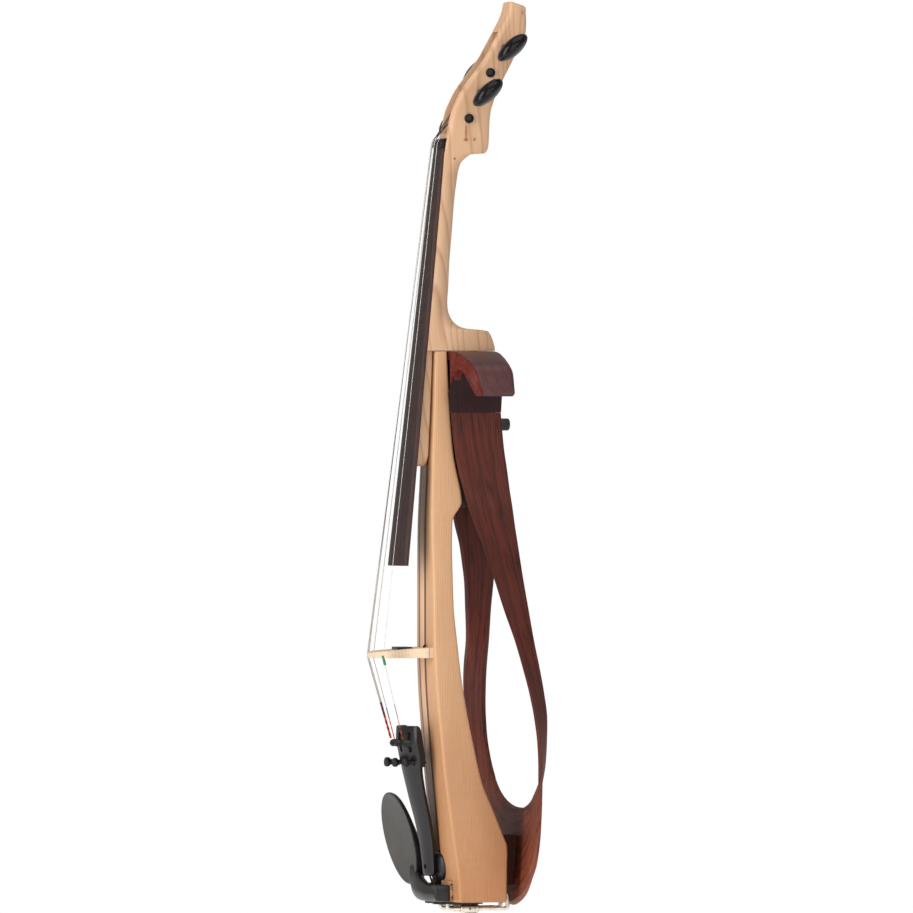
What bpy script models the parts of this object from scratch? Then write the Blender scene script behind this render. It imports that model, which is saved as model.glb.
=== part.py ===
"""Four-string electric violin with an open wooden frame.

Frame: +X is the treble side, the strings face -Y, +Z runs up to the head.
Origin: the middle of the flat ledge under the back of the head, which hangs on a hook or stand.
Dimensions are millimetres; make_object turns them into metres.
"""

import math

import bmesh
import bpy
from mathutils import Matrix, Vector

# ---------------------------------------------------------------- driving dimensions (mm)
MM = 0.001
GAP = 0.3                       # clearance between touching pieces

NUT_Z = 6.0                     # string length is measured from here ...
BRIDGE_Z = -324.0               # ... to here
STRINGS = ("e", "a", "d", "g")
STRING_RADIUS = {"e": 0.25, "a": 0.35, "d": 0.4, "g": 0.45}
NUT_X = {"e": 8.0, "a": 2.7, "d": -2.7, "g": -8.0}
BRIDGE_TOP = {"e": (17.0, -65.4), "a": (5.7, -69.4), "d": (-5.7, -70.8), "g": (-17.0, -67.5)}
STRING_TAIL = {"e": (15.0, -52.0), "a": (5.0, -55.2), "d": (-5.0, -55.6), "g": (-15.0, -52.8)}
STRING_TAIL_Z = -375.9

HEAD_HALF_WIDTH = 13.0
PEGBOX_HALF_WIDTH = 8.0
PEG_AXIS = {"a": (16.2, 67.2), "d": (6.2, 51.6), "e": (0.0, 38.3), "g": (-7.9, 22.1)}   # (Y, Z)
PEG_SIDE = {"a": 1, "e": 1, "d": -1, "g": -1}
PEG_RADIUS = 2.9
PEG_HOLE_RADIUS = 3.3
WINDING_X = {"a": 2.2, "d": -2.2, "e": 5.2, "g": -5.2}
WINDING_RADIUS = 4.3

BOARD_TOP_Z = 3.2
BOARD_END_Z = -264.9
BOARD_HALF_WIDTH = (12.0, 21.0)
BOARD_RADIUS = 42.0
BOARD_UNDER_Y = (-23.6, -49.5)
BOARD_CROWN_Y = (-27.2, -57.5)

HEEL_Z = -126.9
TONGUE_END_Z = -201.0
BODY_TOP_Z = -127.2
BODY_END_Z = -480.3
BODY_CROWN_RADIUS = 126.0
CORE_HALF_WIDTH = 6.0
STRIP_OUTER = 10.0
BODY_EDGE_ROUND = 1.8

FRAME_THICKNESS = 2.8
FRONT_SLANT = 2.4
BACK_SLANT = 1.0
FRAME_JOINT_Z = -166.9
CAVITY_END_Z = -227.6
CAVITY_HALF_WIDTH = 18.9

KNOB_Z = -174.2
JACK_Z = -205.0

TAILPIECE_TOP_Z = -367.5
TAILPIECE_END_Z = -464.0
TAILPIECE_WALL = 3.0
TAILPIECE_INNER = 0.88          # width of the hollow side over the outer width
LEVER_HALF_WIDTH = 1.3
TUNER_X = {"e": 15.0, "a": 5.0, "d": -5.0, "g": -15.0}
TUNER_TIP_Y = {"e": -52.0, "a": -56.5, "d": -59.5, "g": -57.0}
TUNER_SCREW_Z = -391.0
TUNER_PIVOT_Z = -381.5

CLAMP_X = 10.0
CLAMP_Z = -485.0
CLAMP_FRONT_Y = -21.3
CLAMP_BACK_Y = 18.2
BARREL_Y = (-13.0, -1.0)
LIP_Z = (-482.0, -480.7)
BUTTON_Y = -3.6
# saddle sections, as (Z, height, half width)
SADDLE = ((-449, 0.8, 11), (-451, 2.6, 14), (-456, 3.4, 16.5), (-461, 3.2, 16.5), (-464.6, 2.2, 12),
          (-466, 1.9, 9), (-479.8, 1.2, 8.4))

# ---------------------------------------------------------------- outlines, as (Z, value) pairs
BODY_HALF = ((-127, 16), (-159, 16.5), (-202, 17.8), (-240, 20.6), (-275, 23.6), (-318, 25.4), (-343, 27.2),
             (-377, 28.8), (-395, 29.4), (-416, 31), (-442, 33.5), (-467, 35.5), (-481, 36))
BODY_FRONT_EDGE = ((-127, -30.8), (-159, -31.7), (-202, -33.3), (-240, -34.3), (-275, -33.8), (-318, -33.4),
                   (-343, -32.3), (-377, -29.5), (-395, -28), (-416, -25.6), (-442, -22.6), (-467, -19.6),
                   (-481, -18.8))
BODY_BACK = ((-127, -23), (-159, -21.4), (-192, -19), (-204, -17), (-216, -14.6), (-224, -13.9),
             (-228, -15.7), (-233, -19.1), (-237, -20.2), (-257, -20.9), (-287, -20.5), (-318, -17.8),
             (-338, -15.7), (-356, -13), (-382, -8), (-404, -3), (-425, 5.3), (-438, 10.3), (-445, 12.8),
             (-459, 12.3), (-481, 11.5))
BODY_LEVELS = (-150, -175, -195, -208, -217, -224, -228, -232, -237, -250, -275, -300, -325, -345, -365,
               -385, -404, -425, -438, -445, -459, -471)

# head, neck and heel: (Z, front Y, back Y, half width, squareness)
HEAD = ((97.7, 19.6, 22.8, 9.5, 4), (96.4, 19.0, 27.2, 11, 5), (93.8, 18.8, 29.8, 11.8, 6),
        (89.8, 18.0, 30.8, 12.2, 7), (80, 13.4, 30.4, 12.5, 8), (70, 8.0, 27.0, 12.7, 8),
        (61.7, 3.4, 22.8, 12.9, 8), (54, -2.2, 18.9, 13, 8), (47.2, -7.4, 15.4, 13, 8),
        (39.4, -12.8, 11.8, 13, 8), (33, -16.0, 9.2, 13, 8), (26.2, -18.8, 7.3, 13, 8),
        (20, -20.2, 6.6, 13, 8), (14.4, -21.4, 6.4, 13, 8), (9, -22.4, 6.4, 13, 8), (4, -23.2, 6.2, 13, 8),
        (1.2, -23.4, 5.4, 13, 8))
NECK_BACK = ((0, -4), (-2, -7.2), (-4.5, -10), (-6.9, -11.8), (-16.7, -13.5), (-29.8, -15.2), (-54.1, -17.2),
             (-70.5, -18.6), (-88, -19.4), (-94.8, -20), (-101.3, -19.5), (-106, -17.9), (-109.9, -14.6),
             (-112.1, -10.5), (-113, -5.2), (-113.8, 5.8), (-116.4, 8.1), (-121, 10.0), (-126, 11.2))
LEDGE_BACK_Y = 4.4

# ribbon of the frame, treble side: edges at each level, as (Z, X front, Y front, X back, Y back)
LEG = ((-167.2, 22, -22.3, 22, 11.1), (-188, 22, -20.2, 22, 13), (-204.5, 22.5, -17.4, 22.8, 15.2),
       (-216, 23.2, -14.4, 23.8, 16.5), (-227, 25, -11.4, 25.5, 17.9), (-239, 29, -8.1, 28, 19),
       (-251, 33.4, -4.1, 31.5, 20.1), (-263, 38.6, -1.1, 36.2, 20.9), (-275, 44.3, 1.7, 42.4, 21.4),
       (-292, 54.8, 4.8, 52.5, 22.1), (-314, 71.2, 9.1, 64, 23.4), (-330, 85.8, 11.2, 74.2, 24.4),
       (-345, 96, 13.4, 81.5, 25.4), (-360.7, 100.5, 15.7, 86, 26.4), (-376, 102, 18, 83.5, 26.8),
       (-391.6, 102.6, 19, 76, 27.6), (-404, 102.8, 19.2, 64.5, 28.2))
# tail plate, treble half: outer rim point and hole edge point
TAIL = (((102.8, 19.2, -404.3), (64.5, 28.2, -404.3)), ((103, 18.9, -416), (57, 28.2, -408.5)),
        ((100, 19.1, -429), (50, 28.3, -411.8)), ((93, 19.8, -442), (43, 28.6, -414.6)),
        ((80, 21, -455), (35, 28.8, -416.8)), ((66, 21.6, -464), (27, 29, -418.4)),
        ((46, 22.9, -474), (18.5, 29.2, -419.6)), ((25, 23.4, -480.3), (9.5, 29.4, -420.3)),
        ((0, 24, -483.5), (0, 29.5, -420.5)))
# shoulder arch, treble half: outer line from the centre to the wing tip, inner line back to the joint
WING_TOP = ((0, -127.2), (16, -127.2), (25, -128), (36, -130.5), (47, -134.2), (53, -138.3), (55.6, -143.2),
            (57.7, -149.8), (59.6, -155.1), (59.2, -156.3))
WING_UNDER = ((57.5, -156.4), (54.6, -151), (51, -146), (45, -141.6), (38, -139.7), (31, -141), (26, -146),
              (23.2, -154), (22, -166.6))
WING_INSIDE = ((19.2, -166.6), (19.2, -133), (0, -133))
WING_FRONT = ((0, -22), (22, -22), (25, -19), (36, -17.5), (47, -16), (53, -14), (55.6, -12.5), (57.7, -11),
              (59.6, -9.7))

WING_UNDER_DROP = -3.0           # the cut face under each wing reaches further forward
WING_BACK_Y = (12.6, 11.1)
# rounding along the shoulder's back edge, as (X, radius)
WING_ROUND = ((0, 5), (20, 5.5), (30, 6.5), (47, 6.5), (53, 5), (56, 3), (58, 1.5), (60, 0.5))

# colours
MAPLE = ("maple", (0.74, 0.50, 0.30), 0.38, 0)
SPRUCE = ("spruce", (0.68, 0.42, 0.22), 0.36, 0)
CORE_WOOD = ("core_maple", (0.76, 0.58, 0.38), 0.4, 0)
MAHOGANY = ("mahogany", (0.22, 0.09, 0.05), 0.4, 0)
WALNUT = ("walnut", (0.12, 0.035, 0.02), 0.42, 0)
EBONY = ("ebony", (0.08, 0.06, 0.055), 0.5, 0)
BLACK = ("black_plastic", (0.02, 0.02, 0.02), 0.35, 0)
STEEL = ("steel", (0.7, 0.7, 0.68), 0.25, 1)
CHROME = ("chrome", (0.8, 0.8, 0.8), 0.12, 1)
CORK = ("cork", (0.45, 0.27, 0.15), 0.9, 0)
GREEN = ("green_sleeve", (0.02, 0.25, 0.08), 0.5, 0)


# ---------------------------------------------------------------- helpers
def at(table, z):
    """Smooth value of a (Z, value) table at z, without overshoot between its points."""
    pts = sorted(table)
    xs = [p[0] for p in pts]
    ys = [p[1] for p in pts]
    if z <= xs[0]:
        return ys[0]
    if z >= xs[-1]:
        return ys[-1]
    i = max(k for k in range(len(xs) - 1) if xs[k] <= z)
    slope = [(ys[k + 1] - ys[k]) / (xs[k + 1] - xs[k]) for k in range(len(xs) - 1)]

    def tangent(k):
        if k == 0:
            return slope[0]
        if k == len(slope):
            return slope[-1]
        if slope[k - 1] * slope[k] <= 0:
            return 0.0
        return 2 * slope[k - 1] * slope[k] / (slope[k - 1] + slope[k])

    h = xs[i + 1] - xs[i]
    t = (z - xs[i]) / h
    return ((1 + 2 * t) * (1 - t) ** 2 * ys[i] + t * (1 - t) ** 2 * h * tangent(i)
            + t * t * (3 - 2 * t) * ys[i + 1] + t * t * (t - 1) * h * tangent(i + 1))


def lerp(a, b, t):
    return a + (b - a) * t


def material(spec):
    name, colour, rough, metal = spec
    mat = bpy.data.materials.get(name)
    if mat:
        return mat
    mat = bpy.data.materials.new(name)
    mat.use_nodes = True
    shader = mat.node_tree.nodes["Principled BSDF"]
    shader.inputs["Base Color"].default_value = (*colour, 1)
    shader.inputs["Roughness"].default_value = rough
    shader.inputs["Metallic"].default_value = metal
    return mat


def make_object(name, bm, spec, origin=(0, 0, 0)):
    """Turn a bmesh in millimetres into an object in metres with its origin at the given point."""
    bmesh.ops.remove_doubles(bm, verts=bm.verts, dist=1e-4)
    bmesh.ops.recalc_face_normals(bm, faces=bm.faces)
    bmesh.ops.transform(bm, matrix=Matrix.Scale(MM, 4) @ Matrix.Translation(-Vector(origin)), verts=bm.verts)
    mesh = bpy.data.meshes.new(name)
    bm.to_mesh(mesh)
    bm.free()
    mesh.shade_smooth()
    mesh.set_sharp_from_angle(angle=math.radians(35))
    obj = bpy.data.objects.new(name, mesh)
    obj.location = Vector(origin) * MM
    mesh.materials.append(material(spec))
    bpy.context.collection.objects.link(obj)
    return obj


def loft(sections, bm=None):
    """Closed solid through loops of points that all have the same count."""
    bm = bm or bmesh.new()
    rings = [[bm.verts.new(p) for p in section] for section in sections]
    count = len(rings[0])
    for low, high in zip(rings, rings[1:]):
        for i in range(count):
            j = (i + 1) % count
            bm.faces.new((low[i], low[j], high[j], high[i]))
    bm.faces.new(list(reversed(rings[0])))
    bm.faces.new(rings[-1])
    return bm


def box(low, high, bm=None):
    corners = ((low[0], low[1]), (high[0], low[1]), (high[0], high[1]), (low[0], high[1]))
    return loft([[(x, y, z) for x, y in corners] for z in (low[2], high[2])], bm)


def turned(profile, origin, axis, sides=16, bm=None):
    """Closed solid turned about axis: profile is a list of (distance along the axis, radius)."""
    frame = Vector(axis).to_track_quat("Z", "Y").to_matrix().to_4x4()
    place = Matrix.Translation(Vector(origin)) @ frame
    rings = []
    for along, radius in profile:
        ring = []
        for k in range(sides):
            angle = 2 * math.pi * k / sides
            ring.append(place @ Vector((radius * math.cos(angle), radius * math.sin(angle), along)))
        rings.append(ring)
    return loft(rings, bm)


def turned_ring(profile, origin, axis, sides=16):
    """Solid of a closed (along, radius) outline turned about axis, open through the middle."""
    bm = bmesh.new()
    frame = Vector(axis).to_track_quat("Z", "Y").to_matrix().to_4x4()
    place = Matrix.Translation(Vector(origin)) @ frame
    rings = []
    for k in range(sides):
        angle = 2 * math.pi * k / sides
        turn = (math.cos(angle), math.sin(angle))
        rings.append([bm.verts.new(place @ Vector((r * turn[0], r * turn[1], a))) for a, r in profile])
    for k in range(sides):
        here, there = rings[k], rings[(k + 1) % sides]
        for i in range(len(profile)):
            j = (i + 1) % len(profile)
            bm.faces.new((here[i], here[j], there[j], there[i]))
    return bm


def tube(name, points, radius, spec, sides_level=2):
    """Round bar or cord through points, with filled ends."""
    curve = bpy.data.curves.new(name, "CURVE")
    curve.dimensions = "3D"
    curve.bevel_depth = radius * MM
    curve.bevel_resolution = sides_level
    curve.use_fill_caps = True
    spline = curve.splines.new("POLY")
    spline.points.add(len(points) - 1)
    for point, place in zip(spline.points, points):
        point.co = (*(Vector(place) * MM), 1)
    curve.materials.append(material(spec))
    obj = bpy.data.objects.new(name, curve)
    bpy.context.collection.objects.link(obj)
    return obj


def tube_mesh(points, radius, sides=10, bm=None):
    """Round bar as a mesh, for joining to other shapes."""
    points = [Vector(p) for p in points]
    sections = []
    side = Vector((1, 0, 0))
    for i, point in enumerate(points):
        before = points[max(i - 1, 0)]
        after = points[min(i + 1, len(points) - 1)]
        along = (after - before).normalized()
        across = (side - along * side.dot(along)).normalized()
        other = along.cross(across)
        ring = []
        for k in range(sides):
            angle = 2 * math.pi * k / sides
            ring.append(point + radius * (math.cos(angle) * across + math.sin(angle) * other))
        sections.append(ring)
    return loft(sections, bm)


def boolean(target, tool_bm, operation, name):
    """Apply a union or a cut with the given shape; the tool stays in the file as a hidden guide."""
    bmesh.ops.recalc_face_normals(tool_bm, faces=tool_bm.faces)
    bmesh.ops.scale(tool_bm, vec=(MM, MM, MM), verts=tool_bm.verts)
    mesh = bpy.data.meshes.new(name)
    tool_bm.to_mesh(mesh)
    tool_bm.free()
    tool = bpy.data.objects.new(name, mesh)
    tool.hide_render = True
    tool.display_type = "WIRE"
    bpy.context.collection.objects.link(tool)
    mod = target.modifiers.new(name, "BOOLEAN")
    mod.operation = operation
    mod.object = tool
    mod.solver = "EXACT"


def cut(target, tool_bm, name):
    boolean(target, tool_bm, "DIFFERENCE", name)


def join(target, tool_bm, name):
    boolean(target, tool_bm, "UNION", name)


def arc(centre, radius, start, end, steps):
    """Points on an arc, angles in degrees, as (u, v) pairs."""
    points = []
    for k in range(steps + 1):
        angle = math.radians(lerp(start, end, k / steps))
        points.append((centre[0] + radius * math.cos(angle), centre[1] + radius * math.sin(angle)))
    return points


def plate(outline, low, high, plane, bm=None):
    """Extrude a (u, v) outline between two distances; plane names the axis it is extruded along."""
    order = {"x": lambda u, v, w: (w, u, v), "y": lambda u, v, w: (u, w, v), "z": lambda u, v, w: (u, v, w)}
    place = order[plane]
    return loft([[place(u, v, w) for u, v in outline] for w in (low, high)], bm)


# ---------------------------------------------------------------- neck, board and nut
def board_under(z):
    t = (BOARD_TOP_Z - z) / (BOARD_TOP_Z - BOARD_END_Z)
    return lerp(*BOARD_UNDER_Y, t)


def board_half(z):
    t = (BOARD_TOP_Z - z) / (BOARD_TOP_Z - BOARD_END_Z)
    return lerp(*BOARD_HALF_WIDTH, t)


def d_section(z, front, back, half, square, chamfer=0.8):
    """Neck section: flat front, back rounded as a superellipse of the given squareness."""
    points = [(-half + chamfer, front, z), (half - chamfer, front, z), (half, front + chamfer, z)]
    start = front + 2 * chamfer
    steps = 12
    for k in range(steps + 1):
        angle = math.pi * k / steps
        c, s = math.cos(angle), math.sin(angle)
        x = half * math.copysign(abs(c) ** (2 / square), c)
        y = start + (back - start) * abs(s) ** (2 / square)
        points.append((x, y, z))
    points.append((-half, front + chamfer, z))
    return points


def make_neck():
    sections = [d_section(*row) for row in HEAD]
    front = board_under(0) + GAP
    sections.append(d_section(0, front, LEDGE_BACK_Y, HEAD_HALF_WIDTH, 8))
    for z, back in NECK_BACK:
        square = lerp(5, 2.2, min(-z / 12, 1)) if z > -100 else lerp(2.2, 3.5, min((-z - 100) / 14, 1))
        extra = 0.2 if z == 0 else 0
        sections.append(d_section(z, board_under(z) + GAP + extra, back, board_half(z) - 0.2, square))
    heel_half = board_half(HEEL_Z) - 0.2
    sections.append(d_section(HEEL_Z, board_under(HEEL_Z) + GAP, 11.2, heel_half, 3.5))
    tongue_half = 14.0
    for z in (HEEL_Z, -150, -175, -194):
        extra = 0.3 if z == HEEL_Z else 0
        top = board_under(z) + GAP + extra
        sections.append(d_section(z, top, body_front(0, z) - GAP, tongue_half, 9, 0.4))
    z = TONGUE_END_Z + 1.5
    sections.append(d_section(z, board_under(z) + GAP + 0.2, body_front(0, z) - GAP - 0.4, 13, 5, 0.4))
    z = TONGUE_END_Z
    sections.append(d_section(z, board_under(z) + 1.4, body_front(0, z) - 2, 11, 4, 0.4))
    neck = make_object("neck", loft(sections), MAPLE)
    slot = [(-40, 12.5), (-9, 12.5), (-2.5, 17), (0.5, 22), (4.0, 30), (7.5, 38.3), (13, 50), (19.2, 62),
            (23, 72), (25.6, 84), (24.5, 89), (-10, 92)]
    cut(neck, plate(slot, -PEGBOX_HALF_WIDTH, PEGBOX_HALF_WIDTH, "x"), "cut_pegbox")
    for name, (y, z) in PEG_AXIS.items():
        hole = turned(((-30, PEG_HOLE_RADIUS), (30, PEG_HOLE_RADIUS)), (0, y, z), (1, 0, 0))
        cut(neck, hole, "cut_peg_hole_" + name)
    for x in (-7, 7):
        hole = turned(((-1, 2.0), (12.5, 2.0)), (x, -2, HEEL_Z), (0, 0, 1), 12)
        cut(neck, hole, f"cut_heel_hole_{x}")


def board_top(x, z):
    """Y of the board's playing surface."""
    t = (BOARD_TOP_Z - z) / (BOARD_TOP_Z - BOARD_END_Z)
    return lerp(*BOARD_CROWN_Y, t) + BOARD_RADIUS - math.sqrt(BOARD_RADIUS ** 2 - x * x)


def make_fingerboard():
    sections = []
    for z in (BOARD_TOP_Z, BOARD_END_Z):
        half = board_half(z)
        section = [(-half, board_under(z), z), (half, board_under(z), z)]
        steps = 12
        for k in range(steps + 1):
            x = half * (1 - 2 * k / steps)
            section.append((x, board_top(x, z), z))
        sections.append(section)
    make_object("fingerboard", loft(sections), EBONY)


def nut_top(x):
    return board_top(x, BOARD_TOP_Z) - 0.7


def make_nut():
    half = 12.0
    steps = 8
    sections = []
    for z, drop in ((BOARD_TOP_Z + GAP, 0.0), (NUT_Z, 0.0), (8.2, 1.1), (9.2, 2.6)):
        section = [(-half, BOARD_UNDER_Y[0], z), (half, BOARD_UNDER_Y[0], z)]
        for k in range(steps + 1):
            x = half * (1 - 2 * k / steps)
            section.append((x, nut_top(x) + drop, z))
        sections.append(section)
    make_object("nut", loft(sections), BLACK)


# ---------------------------------------------------------------- laminated body
def body_front(x, z):
    half = at(BODY_HALF, z)
    return at(BODY_FRONT_EDGE, z) - (half * half - x * x) / (2 * BODY_CROWN_RADIUS)


def body_levels():
    return (BODY_TOP_Z,) + BODY_LEVELS + (BODY_END_Z,)


def make_strip(name, low, high, spec):
    """One inner lamination between two X planes."""
    sections = []
    for z in body_levels():
        back = at(BODY_BACK, z)
        middle = (low + high) / 2
        sections.append([(low, back, z), (high, back, z), (high, body_front(high, z), z),
                         (middle, body_front(middle, z), z), (low, body_front(low, z), z)])
    make_object(name, loft(sections), spec)


def make_side(name, sign):
    """Outer spruce part with a rounded front edge."""
    inner = STRIP_OUTER + GAP / 2
    sections = []
    for z in body_levels():
        half = at(BODY_HALF, z)
        back = at(BODY_BACK, z)
        round_start = half - BODY_EDGE_ROUND
        points = [(inner, back), (inner, body_front(inner, z)), ((inner + round_start) / 2,
                  body_front((inner + round_start) / 2, z)), (round_start, body_front(round_start, z))]
        edge = body_front(round_start, z)
        for angle in (30, 60, 90):
            turn = math.radians(angle)
            x = round_start + BODY_EDGE_ROUND * math.sin(turn)
            points.append((x, edge + BODY_EDGE_ROUND * (1 - math.cos(turn))))
        points.append((half, back - 1.5))
        points.append((half - 1.5, back))
        sections.append([(sign * x, y, z) for x, y in points])
    make_object(name, loft(sections), SPRUCE)


def make_body():
    half_gap = GAP / 2
    make_strip("body_core", -CORE_HALF_WIDTH + half_gap, CORE_HALF_WIDTH - half_gap, CORE_WOOD)
    make_strip("body_strip_treble", CORE_HALF_WIDTH + half_gap, STRIP_OUTER - half_gap, MAHOGANY)
    make_strip("body_strip_bass", -STRIP_OUTER + half_gap, -CORE_HALF_WIDTH - half_gap, MAHOGANY)
    make_side("body_side_treble", 1)
    make_side("body_side_bass", -1)


# ---------------------------------------------------------------- wooden frame
def ribbon(pairs, name, side=1):
    """Loft a twisting strip from pairs of edge points.

    The points lie on its outer face; the inner face is narrower, so both long edges are cut slanting.
    """
    pairs = [(Vector(a), Vector(b)) for a, b in pairs]
    sections = []
    for i, (front, back) in enumerate(pairs):
        before = pairs[max(i - 1, 0)]
        after = pairs[min(i + 1, len(pairs) - 1)]
        along = (sum(after, Vector()) - sum(before, Vector())) / 2
        across = back - front
        normal = side * across.cross(along)
        if i in (0, len(pairs) - 1):
            normal.z = 0
        normal = normal.normalized() * FRAME_THICKNESS
        across.normalize()
        middle = (front + back) / 2
        inner_front = front + normal + FRONT_SLANT * across
        inner_back = back + normal - BACK_SLANT * across
        sections.append([front, middle, back, inner_back, middle + normal, inner_front])
    return make_object(name, loft(sections), WALNUT)


def leg_pair(z):
    xf, yf, xb, yb = (at([(row[0], row[k]) for row in LEG], z) for k in (1, 2, 3, 4))
    return (xf, yf, z), (xb, yb, z)


def mirrored(point):
    return (-point[0], point[1], point[2])


def make_legs():
    levels = [LEG[0][0]]
    for above, below in zip(LEG, LEG[1:]):
        levels.append((above[0] + below[0]) / 2)
        levels.append(below[0])
    pairs = [leg_pair(z) for z in levels]
    ribbon(pairs, "frame_leg_treble")
    ribbon([(mirrored(a), mirrored(b)) for a, b in pairs], "frame_leg_bass", -1)


def make_tail_plate():
    """Wide plate that joins the legs: from the treble leg round the rim to the bass leg."""
    half = list(TAIL)
    whole = half + [(mirrored(a), mirrored(b)) for a, b in reversed(half[:-1])]
    tail = ribbon(whole, "frame_tail")
    for z in (-446, -460):
        hole = turned(((-6, 2.1), (10, 2.1)), (0, 24, z), (0, 1, 0), 12)
        cut(tail, hole, f"cut_tail_hole_{-z}")
    return tail


def tail_outer(z):
    """Y of the tail plate's back surface on the centre line."""
    (rim, hole) = TAIL[-1]
    return lerp(hole[1], rim[1], (hole[2] - z) / (hole[2] - rim[2]))


def wing_outline():
    """Treble half of the arch, as (X, Z, drop of the front edge, outward X, outward Z, back radius)."""
    points = []
    for i, (x, z) in enumerate(WING_TOP):
        before = WING_TOP[max(i - 1, 0)]
        after = WING_TOP[min(i + 1, len(WING_TOP) - 1)]
        out = Vector((before[1] - after[1], after[0] - before[0])).normalized()
        points.append((x, z, 0.0, abs(out.x), abs(out.y), at(WING_ROUND, x)))
    points += [(x, z, WING_UNDER_DROP, 0, 0, 0) for x, z in WING_UNDER[:-1]]
    points += [(x, z, 0.0, 0, 0, 0) for x, z in (WING_UNDER[-1], *WING_INSIDE)]
    return points


def shoulder_front(outline):
    return [(x, at(WING_FRONT, abs(x)) + drop, z) for x, z, drop, *_ in outline]


def shoulder_back(outline, degrees):
    """One loop of the back, at an angle of the rounding along its outer edge."""
    turn = math.radians(degrees)
    loop = []
    for x, z, _, out_x, out_z, radius in outline:
        back = lerp(*WING_BACK_Y, min((BODY_TOP_Z - z) / (BODY_TOP_Z - FRAME_JOINT_Z), 1))
        pull = radius * (1 - math.cos(turn))
        loop.append((x - out_x * pull, back - radius * (1 - math.sin(turn)), z - out_z * pull))
    return loop


def make_shoulder():
    """Arch with two wings; its top edge is rounded towards the back, less so at the wing tips."""
    half = wing_outline()
    whole = half + [(-x, z, drop, -out_x, out_z, r) for x, z, drop, out_x, out_z, r in reversed(half[1:-1])]
    loops = [shoulder_front(whole)] + [shoulder_back(whole, degrees) for degrees in (0, 30, 60, 90)]
    shoulder = make_object("frame_shoulder", loft(loops), WALNUT)
    join(shoulder, box((-20, 8.0, -166.6), (20, 10.4, -131)), "join_shoulder_back")
    for x in (-7, 7):
        cut(shoulder, turned(((-6, 2.0), (3, 2.0)), (x, -2, -130), (0, 0, 1), 12), f"cut_shoulder_hole_{x}")


def make_cavity():
    """Plates that close the control cavity between the legs."""
    sections = []
    for z in (-167.2, -178, -190, -204, -216, -226):
        front, back = leg_pair(z)
        half = back[0] - FRAME_THICKNESS - 2 * GAP
        inner = back[1] - 3
        sections.append([(-half, inner, z), (half, inner, z), (half, back[1], z), (-half, back[1], z)])
    back_plate = make_object("cavity_back_plate", loft(sections), WALNUT)
    cut(back_plate, turned(((0, 4.0), (20, 4.0)), (0, 5, KNOB_Z), (0, 1, 0)), "cut_pot_hole")
    cut(back_plate, turned(((0, 5.2), (20, 5.2)), (0, 5, JACK_Z), (0, 1, 0)), "cut_jack_hole")
    cover_half = CAVITY_HALF_WIDTH - GAP
    make_object("cavity_cover", box((-cover_half, -9, CAVITY_END_Z), (cover_half, -6.5, -167.4)), WALNUT)


def make_tail_block():
    sections = []
    half = 10.0
    for z in (-470, -438):
        front = at(BODY_BACK, -445) + GAP
        back = tail_outer(z) - FRAME_THICKNESS - 0.6
        sections.append([(-half, front, z), (half, front, z), (half, back, z), (-half, back, z)])
    block = make_object("tail_block", loft(sections), WALNUT)
    for z in (-446, -460):
        cut(block, turned(((0, 2.0), (12, 2.0)), (0, 15, z), (0, 1, 0), 12), f"cut_block_hole_{-z}")


def make_screw(name, origin, axis, length, head_radius, shank_radius):
    """Countersunk wood screw; the origin is the top of its head and axis points out of the wood."""
    head = head_radius - shank_radius
    profile = ((-length, 0.4), (-length + 2, shank_radius), (-head - 0.4, shank_radius), (-0.4, head_radius),
               (0, head_radius), (0, 1.0), (-0.8, 1.0))
    make_object(name, turned(profile, origin, axis, 12), STEEL)


def make_screws():
    make_screw("heel_screw_treble", (7, -2, -136.2), (0, 0, -1), 20, 3.4, 1.6)
    make_screw("heel_screw_bass", (-7, -2, -136.2), (0, 0, -1), 20, 3.4, 1.6)
    for name, z in (("tail_screw_upper", -446), ("tail_screw_lower", -460)):
        make_screw(name, (0, tail_outer(z) + 2.4, z), (0, 1, 0), 13, 3.6, 1.6)


# ---------------------------------------------------------------- controls
def make_controls():
    case = ((-0.5, 8), (7.6, 8), (7.6, 3.4), (12.6, 3.4), (12.6, 1.85), (2.0, 1.85))
    make_object("volume_pot", turned(case, (0, 0, KNOB_Z), (0, 1, 0)), STEEL)
    knob = ((2.6, 1.5), (13.2, 1.5), (13.2, 3.7), (14.0, 4.05), (20.6, 4.0), (21.5, 3.2))
    make_object("volume_knob", turned(knob, (0, 0, KNOB_Z), (0, 1, 0)), BLACK, (0, 12, KNOB_Z))
    jack = ((-4, 4.8), (-4, 3.4), (17.6, 3.4), (17.6, 6.2), (16.4, 6.2), (16.4, 4.8))
    make_object("output_jack", turned_ring(jack, (0, 0, JACK_Z), (0, 1, 0)), BLACK)


# ---------------------------------------------------------------- bridge and pickup
def bridge_crest(x):
    """Y of the bridge's top edge: a smooth line under the four strings."""
    clear = 2 * GAP
    knots = [(BRIDGE_TOP[s][0], BRIDGE_TOP[s][1] + STRING_RADIUS[s] + clear) for s in STRINGS]
    ends = [(-19.5, knots[3][1] + 1.6), (19.5, knots[0][1] + 1.6)]
    return at(knots + ends, x)


def bridge_thickness(y):
    return lerp(2.0, 6.0, min((y + 71) / 37, 1))


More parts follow.
